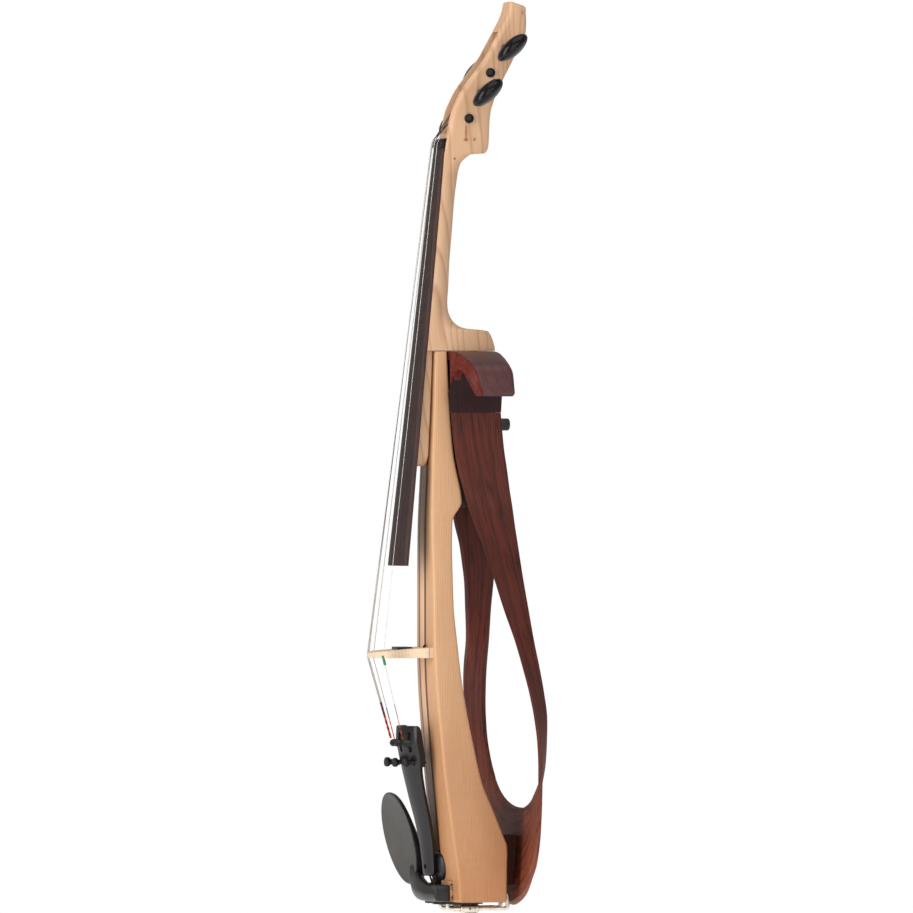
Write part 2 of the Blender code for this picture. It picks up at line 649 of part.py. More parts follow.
def make_bridge():
    half = [(23.2, body_front(23.2, BRIDGE_Z) - GAP - 1.2), (23.4, -37.2), (20.5, -41), (18, -46.5),
            (18.2, -53), (19.8, -59), (19.8, -63.4)]
    crest = [(x, bridge_crest(x)) for x in (19.5, 17, 12, 6, 0)]
    inside = [(13, body_front(13, BRIDGE_Z) - GAP - 1.2), (11.5, -39.5), (7, -42.4), (0, -43.4)]
    outline = half + crest
    outline += [(-x, bridge_crest(-x)) for x in (6, 12, 17, 19.5)]
    outline += [(-x, y) for x, y in reversed(half)]
    outline += [(-x, y) for x, y in inside[:3]] + [inside[3]] + [p for p in reversed(inside[:3])]
    sections = []
    for side in (0, 1):
        sections.append([(x, y, BRIDGE_Z + side * bridge_thickness(y)) for x, y in outline])
    make_object("bridge", loft(sections), MAPLE)
    for name, sign in (("treble", 1), ("bass", -1)):
        pad = []
        for x, lift in ((22.6, 0.3), (13.6, 0.3), (13.6, 1.1), (22.6, 1.1)):
            pad.append((sign * x, body_front(x, BRIDGE_Z) - lift))
        make_object("bridge_pickup_" + name, plate(pad, BRIDGE_Z + 0.3, BRIDGE_Z + 5.4, "z"), BLACK)


def make_pickup_wire():
    x = 13.0
    z = BRIDGE_Z + bridge_thickness(-36)
    out = body_front(x, z)
    tube("pickup_wire", [(x, out - 2.6, z + 0.9), (x, out - 2.5, z + 1.4), (x, out - 1.8, z + 2.2),
                         (x, out - 0.9, z + 2.6)], 0.7, BLACK)


# ---------------------------------------------------------------- strings and pegs
def peg_tangent(name, start):
    """Point (Y, Z) where the string from start meets its winding, on the front of the peg."""
    cy, cz = PEG_AXIS[name]
    radius = WINDING_RADIUS + GAP + STRING_RADIUS[name]
    dy, dz = start[0] - cy, start[1] - cz
    angle = math.atan2(dz, dy) - math.acos(radius / math.hypot(dy, dz))
    return cy + radius * math.cos(angle), cz + radius * math.sin(angle)


def make_string(name):
    radius = STRING_RADIUS[name]
    lift = radius + GAP
    nut = (NUT_X[name], nut_top(NUT_X[name]) - lift, NUT_Z)
    over = (NUT_X[name], nut_top(NUT_X[name]) - lift + 0.9, 8.4)
    peg = peg_tangent(name, (over[1], over[2]))
    x, y = BRIDGE_TOP[name]
    tail_x, tail_y = STRING_TAIL[name]
    points = [(tail_x, tail_y, STRING_TAIL_Z), (x, y, BRIDGE_Z + 1), nut, over, (WINDING_X[name], *peg)]
    tube("string_" + name, points, radius, STEEL, 1)


def make_peg(name):
    side = PEG_SIDE[name]
    y, z = PEG_AXIS[name]
    shaft = ((-15.0, 2.4), (-14.4, PEG_RADIUS), (14.0, PEG_RADIUS), (14.0, 4.4), (17.0, 4.0), (19.5, 2.9),
             (23.5, 3.2))
    bm = bmesh.new()
    rings = [[(x, r * math.cos(a), r * math.sin(a)) for a in angles(16)] for x, r in shaft]
    head = ((26, 7.5, 4.2), (29, 11, 5.6), (33, 12, 6.2), (37, 11, 5.6), (40, 8, 4.2), (41.8, 3.5, 2.2))
    for x, long_half, short_half in head:
        rings.append([(x, *tilted(long_half * math.cos(a), short_half * math.sin(a))) for a in angles(16)])
    rings = [[(side * px, y + py, z + pz) for px, py, pz in ring] for ring in rings]
    loft(rings, bm)
    make_object("peg_" + name, bm, BLACK, (0, y, z))
    bore = PEG_RADIUS + GAP
    ring = ((-2.3, bore), (2.3, bore), (2.3, WINDING_RADIUS - 0.5), (0, WINDING_RADIUS),
            (-2.3, WINDING_RADIUS - 0.5))
    winding = turned_ring(ring, (WINDING_X[name], y, z), (1, 0, 0), 14)
    make_object("peg_winding_" + name, winding, STEEL, (0, y, z))


def angles(count):
    return [2 * math.pi * k / count for k in range(count)]


def tilted(u, v, degrees=45):
    """Turn a (Y, Z) offset so that a peg head's long side leans back towards the top."""
    c, s = math.cos(math.radians(degrees)), math.sin(math.radians(degrees))
    return u * c - v * s, u * s + v * c


def make_sleeve():
    x, y = BRIDGE_TOP["e"]
    radius = STRING_RADIUS["e"] + GAP
    start = Vector((x, y, BRIDGE_Z + 1))
    end = Vector((*STRING_TAIL["e"], STRING_TAIL_Z))
    along = (end - start).normalized()
    ring = ((1.8, radius), (5.6, radius), (5.6, radius + 0.5), (1.8, radius + 0.5))
    make_object("e_string_sleeve", turned_ring(ring, start, along, 10), GREEN)


# ---------------------------------------------------------------- tailpiece and fine tuners
TAILPIECE_CROWN = ((-367.5, -52.2), (-376, -52.4), (-384, -51.0), (-399, -47.8), (-415, -43.9),
                   (-430, -40.0), (-446, -36.9), (-464, -34.8))
TAILPIECE_HALF = ((-367.5, 19.5), (-376, 21), (-388, 20.6), (-396, 17.5), (-430, 13.5), (-464, 10.5))
TAILPIECE_SAG = ((-367.5, 7.6), (-388, 7.6), (-400, 6.5), (-464, 4.0))


def tailpiece_top(x, z):
    half = at(TAILPIECE_HALF, z)
    return at(TAILPIECE_CROWN, z) + at(TAILPIECE_SAG, z) * (x / half) ** 2


def make_tailpiece():
    sections = []
    steps = 8
    for z in (-367.5, -372, -378, -384, -389, -394, -402, -415, -430, -447, -460, -464):
        half = at(TAILPIECE_HALF, z) * (0.86 if z == -464 else 1)
        xs = [half * (1 - 2 * k / steps) for k in range(steps + 1)]
        outer = [(x, tailpiece_top(x, z), z) for x in xs]
        inner = [(x * TAILPIECE_INNER, tailpiece_top(x, z) + TAILPIECE_WALL, z) for x in reversed(xs)]
        sections.append(outer + inner)
    body = make_object("tailpiece", loft(sections), BLACK)
    for name, x in TUNER_X.items():
        cut(body, box((x - 1.8, -60, -384.5), (x + 1.8, -30, -371.5)), "cut_lever_slot_" + name)
        hole = turned(((-20, 1.8), (20, 1.8)), (x, -46, TUNER_SCREW_Z), (0, 1, 0), 12)
        cut(body, hole, "cut_screw_hole_" + name)
    for x in (-4, 4):
        hole = turned(((-12, 1.6), (12, 1.6)), (x, -33, -458), (0, 1, 0), 10)
        cut(body, hole, f"cut_gut_hole_{x}")


def lever_floor(name):
    """Y just under the tailpiece's inner face, at the outer side of a lever."""
    outer = (abs(TUNER_X[name]) + LEVER_HALF_WIDTH) / TAILPIECE_INNER
    return tailpiece_top(outer, TUNER_SCREW_Z) + TAILPIECE_WALL - 0.6


def make_tuner(name):
    x = TUNER_X[name]
    floor = lever_floor(name)
    top = STRING_TAIL[name][1]
    hook = arc((top + 2.0, -378.7), 2.3, 250, 90, 6)
    outline = hook + [(floor + 1.0, -377.0), (floor + 3.4, -379.0), (floor + 5.0, -384), (floor + 6.2, -394),
                      (floor + 4.6, -394), (floor + 3.2, -385.4), (floor + 0.4, -380.6)]
    lever = plate(outline, x - LEVER_HALF_WIDTH, x + LEVER_HALF_WIDTH, "x")
    make_object("tuner_lever_" + name, lever, STEEL, (x, floor + 2.4, TUNER_PIVOT_Z))
    tip = TUNER_TIP_Y[name]
    inside = floor + 3.6
    profile = ((tip, 2.2), (tip + 0.6, 3.1), (tip + 3.0, 3.1), (tip + 3.6, 2.0), (tip + 4.4, 1.3),
               (inside, 1.3))
    make_object("tuner_screw_" + name, turned(profile, (x, 0, TUNER_SCREW_Z), (0, 1, 0), 12), BLACK,
                (x, tip, TUNER_SCREW_Z))


def make_tail_fittings():
    sections = []
    for z, height, half in SADDLE:
        across = ((-half, 0.35), (-8, 0.8), (-4, 1.0), (4, 1.0), (8, 0.8), (half, 0.35))
        low = [(x, body_front(x, z) - GAP, z) for x, share in across]
        high = [(x, body_front(x, z) - GAP - height * share, z) for x, share in reversed(across)]
        sections.append(low + high)
    make_object("saddle", loft(sections), BLACK)
    button = ((-480.7, 3.2), (-483.6, 3.2), (-484.6, 4.7), (-487.4, 4.7), (-488.5, 3.4))
    make_object("end_button", turned([(a, r) for a, r in button], (0, BUTTON_Y, 0), (0, 0, 1)), BLACK)
    loop = []
    path = ((-30.45, -459.6), (-30.15, -463), (-28.6, -468), (-27.6, -474), (-27.0, -480), (-25.4, -481.8),
            (-23, -482.2), (-14, -482.2))
    for y, z in path:
        loop.append((4.0, y, z))
    for angle in range(-60, 241, 30):
        turn = math.radians(angle)
        loop.append((4.5 * math.cos(turn), BUTTON_Y + 4.5 * math.sin(turn), -482.2))
    loop += [(-x, y, z) for x, y, z in reversed(loop[:len(path)])]
    tube("tail_gut", loop, 0.6, BLACK, 1)


# ---------------------------------------------------------------- chin rest and clamp
CUP_CENTRE = (-37.0, -441.0)
CUP_HALF = (22.0, 29.7)
CUP_Y = -36.8
CUP_TILT = (0.19, -0.147)
CUP_DEPTH = 7.0
CUP_WALL = 3.6


def cup_y(x, z):
    """Y of the chin rest's concave face."""
    dx, dz = x - CUP_CENTRE[0], z - CUP_CENTRE[1]
    rho = (dx / CUP_HALF[0]) ** 2 + (dz / CUP_HALF[1]) ** 2
    return CUP_Y + CUP_TILT[0] * dx + CUP_TILT[1] * dz - CUP_DEPTH * min(rho, 1.2)


def make_chinrest():
    bm = bmesh.new()
    rings = 4
    around = 24
    layers = []
    for lift in (0.0, CUP_WALL):
        centre = bm.verts.new((CUP_CENTRE[0], cup_y(*CUP_CENTRE) + lift, CUP_CENTRE[1]))
        loops = []
        for r in range(1, rings + 1):
            f = r / rings
            loop = []
            for a in angles(around):
                x = CUP_CENTRE[0] + CUP_HALF[0] * f * math.cos(a)
                z = CUP_CENTRE[1] + CUP_HALF[1] * f * math.sin(a)
                loop.append(bm.verts.new((x, cup_y(x, z) + lift, z)))
            loops.append(loop)
        for k in range(around):
            j = (k + 1) % around
            bm.faces.new((centre, loops[0][k], loops[0][j]))
            for inner, outer in zip(loops, loops[1:]):
                bm.faces.new((inner[k], outer[k], outer[j], inner[j]))
        layers.append(loops[-1])
    for k in range(around):
        j = (k + 1) % around
        bm.faces.new((layers[0][k], layers[1][k], layers[1][j], layers[0][j]))
    rest = make_object("chinrest", bm, BLACK)
    arm = []
    path = ((-44, -38.0, -463, 8, 2.0), (-36, -36.0, -470.5, 8.5, 3.6), (-24, -34.5, -475.5, 6.5, 4.4),
            (-6, -33.8, -475.6, 5.2, 4.2), (8, -33.0, -475.2, 5.0, 4.4), (18, -30.0, -475, 5.2, 5.0),
            (26, -29.0, -475, 5.2, 4.4))
    for x, y, z, tall, deep in path:
        arm.append([(x, y + deep * math.sin(a), z + tall * math.cos(a)) for a in angles(12)])
    join(rest, loft(arm), "join_arm")
    for sign in (1, -1):
        sections = []
        for x in (12.2, 26):
            low = [(sign * x, body_front(x, z) - 2.2, z) for z in (-469.5, -480.2)]
            sections.append([low[0], low[1], (sign * x, -30, -479.4), (sign * x, -30, -470.4)])
        join(rest, loft(sections), f"join_foot_{sign}")
        lip = sorted((sign * 6.5, sign * 14.0))
        join(rest, box((lip[0], -31, LIP_Z[0]), (lip[1], 1.0, LIP_Z[1])), f"join_lip_{sign}")
        join(rest, box((lip[0], -31, LIP_Z[0]), (lip[1], -26.5, -478)), f"join_lip_front_{sign}")
        cork = []
        for x in (11.5, 18, 25.5):
            ring = [(sign * x, body_front(x, z) - lift, z)
                    for z, lift in ((-466, GAP), (-480, GAP), (-480, 1.8), (-466, 1.8))]
            cork.append(ring)
        make_object("chinrest_cork_treble" if sign > 0 else "chinrest_cork_bass", loft(cork), CORK)


def make_clamp():
    bracket = []
    rod = 1.35
    for sign in (1, -1):
        x = sign * CLAMP_X
        bend = 1.6
        path = [(x, CLAMP_FRONT_Y, LIP_Z[0] - GAP)]
        path += [(x, y, z) for y, z in arc((CLAMP_FRONT_Y + bend, CLAMP_Z + bend), bend, 190, 260, 3)]
        path += [(x, CLAMP_FRONT_Y + bend, CLAMP_Z), (x, BARREL_Y[0] + 5, CLAMP_Z)]
        bracket.append(path)
    for sign, path in zip((1, -1), bracket):
        label = "treble" if sign > 0 else "bass"
        make_object("clamp_bracket_" + label, tube_mesh(path, rod), CHROME)
        ring = ((BARREL_Y[0], 1.7), (BARREL_Y[0], 2.3), (BARREL_Y[0] + 0.4, 2.65), (BARREL_Y[1] - 0.4, 2.65),
                (BARREL_Y[1], 2.3), (BARREL_Y[1], 1.7))
        centre = (sign * CLAMP_X, sum(BARREL_Y) / 2, CLAMP_Z)
        body = turned_ring(ring, (sign * CLAMP_X, 0, CLAMP_Z), (0, 1, 0))
        barrel = make_object("clamp_barrel_" + label, body, CHROME, centre)
        key_hole = turned(((-5, 0.8), (5, 0.8)), (centre[0], centre[1], CLAMP_Z), (1, 0, 0), 10)
        cut(barrel, key_hole, "cut_key_" + label)
    foot_plate = box((-15, 14.6, -481.5), (15, 16.6, -471))
    foot = make_object("clamp_foot", foot_plate, CHROME)
    for sign in (1, -1):
        x = sign * CLAMP_X
        bend = 1.7
        path = [(x, BARREL_Y[1] - 5, CLAMP_Z), (x, CLAMP_BACK_Y - bend, CLAMP_Z)]
        path += [(x, y, z) for y, z in arc((CLAMP_BACK_Y - bend, CLAMP_Z + bend), bend, -70, -10, 3)]
        path += [(x, CLAMP_BACK_Y, CLAMP_Z + 2.4), (x, CLAMP_BACK_Y, -477), (x, 17.6, -475.6),
                 (x, 15.6, -475.0)]
        join(foot, tube_mesh(path, rod), f"join_stud_{sign}")
    make_object("clamp_foot_cork", box((-15, 12.9, -481.5), (15, 14.3, -471)), CORK)


def main():
    for obj in list(bpy.data.objects):
        bpy.data.objects.remove(obj)
    make_neck()
    make_fingerboard()
    make_nut()
    make_body()
    make_shoulder()
    make_legs()
    make_tail_plate()
    make_cavity()
    make_tail_block()
    make_screws()
    make_controls()
    make_bridge()
    make_pickup_wire()
    for name in STRINGS:
        make_string(name)
        make_peg(name)
        make_tuner(name)
    make_sleeve()
    make_tailpiece()
    make_tail_fittings()
    make_chinrest()
    make_clamp()


main()
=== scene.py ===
"""Looks for the four-string frame violin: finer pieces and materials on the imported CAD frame.

Lengths are millimetres in the part's own frame (+X treble, strings face -Y, +Z to the head);
make_piece turns them into metres.
"""

import math  # noqa: E402

import bmesh  # noqa: E402
import bpy  # noqa: E402
from mathutils import Matrix, Vector  # noqa: E402


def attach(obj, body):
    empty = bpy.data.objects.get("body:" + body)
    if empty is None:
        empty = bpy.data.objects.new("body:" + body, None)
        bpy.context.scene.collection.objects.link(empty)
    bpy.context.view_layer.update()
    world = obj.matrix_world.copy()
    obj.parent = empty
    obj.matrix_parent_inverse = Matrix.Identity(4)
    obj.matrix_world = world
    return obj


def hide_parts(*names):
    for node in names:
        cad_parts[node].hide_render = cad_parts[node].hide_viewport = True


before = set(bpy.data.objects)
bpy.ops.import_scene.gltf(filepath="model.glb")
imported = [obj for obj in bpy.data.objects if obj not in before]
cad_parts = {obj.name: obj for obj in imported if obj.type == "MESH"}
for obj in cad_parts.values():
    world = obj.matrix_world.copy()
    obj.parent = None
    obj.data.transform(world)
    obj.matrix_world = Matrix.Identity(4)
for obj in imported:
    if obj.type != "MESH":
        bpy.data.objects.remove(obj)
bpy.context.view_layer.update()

MM = 0.001
GAP = 0.3
STRINGS = ("e", "a", "d", "g")

# ---------------------------------------------------------------- dimensions shared with the CAD (mm)
NUT_Z = 6.0
BRIDGE_Z = -324.0
STRING_RADIUS = {"e": 0.25, "a": 0.35, "d": 0.4, "g": 0.45}
# The strings look thinner than their solids, which are thickened so that they stay sound.
SEEN_RADIUS = {"e": 0.16, "a": 0.27, "d": 0.31, "g": 0.36}
NUT_X = {"e": 8.0, "a": 2.7, "d": -2.7, "g": -8.0}
BRIDGE_TOP = {"e": (17.0, -65.4), "a": (5.7, -69.4), "d": (-5.7, -70.8), "g": (-17.0, -67.5)}
STRING_TAIL = {"e": (15.0, -52.0), "a": (5.0, -55.2), "d": (-5.0, -55.6), "g": (-15.0, -52.8)}
STRING_TAIL_Z = -375.9
PEG_AXIS = {"a": (16.2, 67.2), "d": (6.2, 51.6), "e": (0.0, 38.3), "g": (-7.9, 22.1)}
PEG_SIDE = {"a": 1, "e": 1, "d": -1, "g": -1}
PEG_THICK = {1: 1.0, -1: 0.86}
PEG_TILT = {"a": 42, "d": 56, "e": 42, "g": 45}
WINDING_X = {"a": 2.2, "d": -2.2, "e": 5.2, "g": -5.2}
WINDING_RADIUS = 4.3
BOARD_TOP_Z = 3.2
BOARD_END_Z = -264.9
BOARD_RADIUS = 42.0
HEEL_Z = -126.9
TONGUE_END_Z = -201.0
BODY_TOP_Z = -127.2
BODY_END_Z = -480.3
BODY_CROWN_RADIUS = 126.0
FRAME_THICKNESS = 2.8
KNOB_Z = -174.2
TAILPIECE_WALL = 3.0
TAILPIECE_INNER = 0.88
TUNER_X = {"e": 15.0, "a": 5.0, "d": -5.0, "g": -15.0}
TUNER_TIP_Y = {"e": -52.0, "a": -56.5, "d": -59.5, "g": -57.0}
TUNER_SCREW_Z = -391.0
CLAMP_X = 10.0
CLAMP_Z = -485.0
BUTTON_Y = -3.6
LIP_Z = (-482.0, -480.7)
SHOULDER_END_Z = -166.6
CONTACT = 0.06        # gap kept between pieces that meet, so that no two faces lie in each other
BOARD_CONTACT = 0.05
CORE_HALF, STRIP_HALVES, SIDE_INNER = 5.97, (6.03, 9.97), 10.03
SIDE_FRONT_RADIUS = 2.6
PEG_HOLE_RADIUS = 3.1
HEEL_SCREW_XS, HEEL_SCREW_Y, HEEL_HOLE_RADIUS = (-7, 7), -2, 2.0
TAIL_SCREW_ZS, TAIL_HOLE_RADIUS = (-446, -460), 2.1
SHOULDER_BACK = (12.6, 11.1)
ROD_RADIUS = 1.35
FOOT_YS, FOOT_CORK_YS = (14.35, 16.6), (12.85, 14.3)

BODY_HALF = ((-127, 16), (-159, 16.5), (-202, 17.8), (-240, 20.6), (-275, 23.6), (-318, 25.4), (-343, 27.2),
             (-377, 28.8), (-395, 29.4), (-416, 31), (-442, 33.5), (-467, 35.5), (-481, 36))
BODY_FRONT_EDGE = ((-127, -30.8), (-159, -31.7), (-202, -33.3), (-240, -34.3), (-275, -33.8), (-318, -33.4),
                   (-343, -32.3), (-377, -29.5), (-395, -28), (-416, -25.6), (-442, -22.6), (-467, -19.6),
                   (-481, -18.8))
BODY_BACK = ((-127, -23), (-159, -21.4), (-192, -19), (-204, -17), (-216, -14.6), (-224, -13.9),
             (-228, -15.7), (-233, -19.1), (-237, -20.2), (-257, -20.9), (-287, -20.5), (-318, -17.8),
             (-338, -15.7), (-356, -13), (-382, -8), (-404, -3), (-425, 5.3), (-438, 10.3), (-445, 12.8),
             (-459, 12.3), (-481, 11.5))
HEAD = ((97.7, 19.6, 22.8, 9.5, 4), (96.4, 19.0, 27.2, 11, 5), (93.8, 18.8, 29.8, 11.8, 6),
        (89.8, 18.0, 30.8, 12.2, 7), (80, 13.4, 30.4, 12.5, 8), (70, 8.0, 27.0, 12.7, 8),
        (61.7, 3.4, 22.8, 12.9, 8), (54, -2.2, 18.9, 13, 8), (47.2, -7.4, 15.4, 13, 8),
        (39.4, -12.8, 11.8, 13, 8), (33, -16.0, 9.2, 13, 8), (26.2, -18.8, 7.3, 13, 8),
        (20, -20.2, 6.6, 13, 8), (14.4, -21.4, 6.4, 13, 8), (9, -22.4, 6.4, 13, 8), (4, -23.2, 6.2, 13, 8),
        (1.2, -23.4, 5.4, 13, 8))
NECK_BACK = ((0, -4), (-2, -7.2), (-4.5, -10), (-6.9, -11.8), (-16.7, -13.5), (-29.8, -15.2), (-54.1, -17.2),
             (-70.5, -18.6), (-88, -19.4), (-94.8, -20), (-101.3, -19.5), (-106, -17.9), (-109.9, -14.6),
             (-112.1, -10.5), (-113, -5.2), (-113.8, 5.8), (-116.4, 8.1), (-121, 10.0), (-126, 11.2))
LEG = ((-167.2, 22, -22.3, 22, 11.1), (-188, 22, -20.2, 22, 13), (-204.5, 22.5, -17.4, 22.8, 15.2),
       (-216, 23.2, -14.4, 23.8, 16.5), (-227, 25, -11.4, 25.5, 17.9), (-239, 29, -8.1, 28, 19),
       (-251, 33.4, -4.1, 31.5, 20.1), (-263, 38.6, -1.1, 36.2, 20.9), (-275, 44.3, 1.7, 42.4, 21.4),
       (-292, 54.8, 4.8, 52.5, 22.1), (-314, 71.2, 9.1, 64, 23.4), (-330, 85.8, 11.2, 74.2, 24.4),
       (-345, 96, 13.4, 81.5, 25.4), (-360.7, 100.5, 15.7, 86, 26.4), (-376, 102, 18, 83.5, 26.8),
       (-391.6, 102.6, 19, 76, 27.6), (-404, 102.8, 19.2, 64.5, 28.2))
TAIL = (((102.8, 19.2, -404.3), (64.5, 28.2, -404.3)), ((103, 18.9, -416), (57, 28.2, -408.5)),
        ((100, 19.1, -429), (50, 28.3, -411.8)), ((93, 19.8, -442), (43, 28.6, -414.6)),
        ((80, 21, -455), (35, 28.8, -416.8)), ((66, 21.6, -464), (27, 29, -418.4)),
        ((46, 22.9, -474), (18.5, 29.2, -419.6)), ((25, 23.4, -480.3), (9.5, 29.4, -420.3)),
        ((0, 24, -483.5), (0, 29.5, -420.5)))
WING_TOP = ((0, -127.2), (16, -127.2), (25, -128), (36, -130.5), (47, -134.2), (53, -138.3), (55.6, -143.2),
            (57.7, -149.8), (59.6, -155.1), (59.2, -156.3))
WING_UNDER = ((57.5, -156.4), (54.6, -151), (51, -146), (45, -141.6), (38, -139.7), (31, -141), (26, -146),
              (23.2, -154), (22, -166.6))
WING_FRONT = ((0, -22), (22, -22), (25, -19), (36, -17.5), (47, -16), (53, -14), (55.6, -12.5), (57.7, -11),
              (59.6, -9.7))
WING_ROUND = ((0, 5), (20, 5.5), (30, 6.5), (47, 6.5), (53, 5), (56, 3), (58, 1.5), (60, 0.5))
TAILPIECE_CROWN = ((-367.5, -52.2), (-376, -52.4), (-384, -51.0), (-399, -47.8), (-415, -43.9),
                   (-430, -40.0), (-446, -36.9), (-464, -34.8))
TAILPIECE_HALF = ((-367.5, 19.5), (-376, 21), (-388, 20.6), (-396, 17.5), (-430, 13.5), (-464, 10.5))
TAILPIECE_SAG = ((-367.5, 7.6), (-388, 7.6), (-400, 6.5), (-464, 4.0))
CUP_CENTRE = (-37.0, -441.0)
CUP_HALF = (22.0, 29.7)
CUP_Y = -36.8
CUP_TILT = (0.19, -0.235)
CUP_DEPTH = 7.0
CUP_WALL = 3.6


# ---------------------------------------------------------------- numbers
def at(table, z):
    """Smooth value of a (Z, value) table at z, without overshoot between its points."""
    pts = sorted(table)
    xs = [p[0] for p in pts]
    ys = [p[1] for p in pts]
    if z <= xs[0]:
        return ys[0]
    if z >= xs[-1]:
        return ys[-1]
    i = max(k for k in range(len(xs) - 1) if xs[k] <= z)
    slope = [(ys[k + 1] - ys[k]) / (xs[k + 1] - xs[k]) for k in range(len(xs) - 1)]

    def tangent(k):
        if k == 0:
            return slope[0]
        if k == len(slope):
            return slope[-1]
        if slope[k - 1] * slope[k] <= 0:
            return 0.0
        return 2 * slope[k - 1] * slope[k] / (slope[k - 1] + slope[k])

    h = xs[i + 1] - xs[i]
    t = (z - xs[i]) / h
    return ((1 + 2 * t) * (1 - t) ** 2 * ys[i] + t * (1 - t) ** 2 * h * tangent(i)
            + t * t * (3 - 2 * t) * ys[i + 1] + t * t * (t - 1) * h * tangent(i + 1))


def lerp(a, b, t):
    return a + (b - a) * t


def unit(value):
    """The value held between 0 and 1."""
    return min(max(value, 0), 1)


def levels(start, end, step):
    """Evenly spaced values from start to end, both included."""
    count = max(1, round(abs(end - start) / step))
    return [lerp(start, end, k / count) for k in range(count + 1)]


def angles(count):
    return [2 * math.pi * k / count for k in range(count)]


def spline(points, steps):
    """Catmull-Rom curve through the points, with that many steps between each two."""
    pts = [Vector(p) for p in points]
    out = []
    for i in range(len(pts) - 1):
        p0, p1, p2, p3 = pts[max(i - 1, 0)], pts[i], pts[i + 1], pts[min(i + 2, len(pts) - 1)]
        for k in range(steps):
            t = k / steps
            out.append(0.5 * (2 * p1 + (p2 - p0) * t + (2 * p0 - 5 * p1 + 4 * p2 - p3) * t * t
                              + (3 * p1 - p0 - 3 * p2 + p3) * t ** 3))
    return out + [pts[-1]]


def rounded(corners, radius, steps=3):
    """Closed outline with small curves for corners; radius is one number or one per corner."""
    pts = [Vector(p) for p in corners]
    radii = radius if hasattr(radius, "__len__") else [radius] * len(pts)
    out = []
    for i, p in enumerate(pts):
        a, b = pts[i - 1] - p, pts[(i + 1) % len(pts)] - p
        ra = min(radii[i], 0.45 * a.length)
        rb = min(radii[i], 0.45 * b.length)
        start, end = p + a.normalized() * ra, p + b.normalized() * rb
        for k in range(steps + 1):
            t = k / steps
            out.append(start * (1 - t) ** 2 + 2 * t * (1 - t) * p + end * t * t)
    return out


def inset(outline, distance):
    """Move a closed 2D outline inwards by the distance."""
    pts = [Vector(p) for p in outline]
    area = sum(a.x * b.y - b.x * a.y for a, b in zip(pts, pts[1:] + pts[:1]))
    sign = 1 if area > 0 else -1
    out = []
    for i, p in enumerate(pts):
        along = ((p - pts[i - 1]).normalized(), (pts[(i + 1) % len(pts)] - p).normalized())
        normals = [Vector((-d.y, d.x)) * sign for d in along]
        middle = normals[0] + normals[1]
        length = max(middle.length, 0.6)
        out.append(p + middle / length * distance * min(2 / length, 1.5))
    return out


def arc(centre, radius, start, end, steps):
    turns = [math.radians(lerp(start, end, k / steps)) for k in range(steps + 1)]
    return [(centre[0] + radius * math.cos(a), centre[1] + radius * math.sin(a)) for a in turns]


# ---------------------------------------------------------------- mesh making
def loft(sections, bm=None, closed=False, grain=None, index=None):
    """Skin loops of points that all have the same count. grain gives each point's place in the wood."""
    bm = bm or bmesh.new()
    layer = bm.verts.layers.float_vector.get("grain") or bm.verts.layers.float_vector.new("grain")
    rings = []
    for i, section in enumerate(sections):
        ring = [bm.verts.new(p) for p in section]
        if grain:
            for vert, place in zip(ring, grain[i]):
                vert[layer] = Vector(place) * MM
        rings.append(ring)
    count = len(rings[0])
    pairs = list(zip(rings, rings[1:]))
    if closed:
        pairs.append((rings[-1], rings[0]))
    for i, (low, high) in enumerate(pairs):
        for k in range(count):
            j = (k + 1) % count
            face = bm.faces.new((low[k], low[j], high[j], high[k]))
            face.material_index = index(i, k) if index else 0
    if not closed:
        bm.faces.new(list(reversed(rings[0])))
        bm.faces.new(rings[-1])
    return bm


def place_fn(plane):
    """How a 2D outline (u, v) at distance w sits in space when it is extruded along that axis."""
    return {"x": lambda u, v, w: (w, u, v),
            "y": lambda u, v, w: (u, w, v),
            "z": lambda u, v, w: (u, v, w)}[plane]


def slab(outline, low, high, plane, edge=0.4):
    """Extruded outline with its two rims rounded by edge."""
    place = place_fn(plane)
    loops = []
    turns = [math.pi / 2 * k / 2 for k in range(3)]
    for t in turns:
        loops.append((edge * (1 - math.sin(t)), low + edge * (1 - math.cos(t))))
    for t in reversed(turns):
        loops.append((edge * (1 - math.sin(t)), high - edge * (1 - math.cos(t))))
    return loft([[place(p.x, p.y, w) for p in inset(outline, d)] for d, w in loops])


def rectangle(a, b):
    """Corners of the rectangle between two opposite ones, in order round it."""
    return [(a[0], a[1]), (b[0], a[1]), (b[0], b[1]), (a[0], b[1])]


def block(low, high, edge):
    """Box with rounded edges between two opposite corners."""
    return slab(rounded(rectangle(low, high), 2 * edge), low[2], high[2], "z", edge)


def cutter(a, b):
    """Plain box for cutting, between two opposite corners."""
    (x0, x1), (y0, y1), (z0, z1) = (sorted(pair) for pair in zip(a, b))
    return loft([[(x0, y0, z), (x1, y0, z), (x1, y1, z), (x0, y1, z)] for z in (z0, z1)])


def turned(profile, origin, axis, sides=32, bm=None, closed=False):
    """Solid turned about axis: profile is a list of (distance along the axis, radius)."""
    place = Matrix.Translation(Vector(origin)) @ Vector(axis).to_track_quat("Z", "Y").to_matrix().to_4x4()
    rings = [[place @ Vector((r * math.cos(a), r * math.sin(a), along)) for a in angles(sides)]
             for along, r in profile]
    return loft(rings, bm, closed=closed)


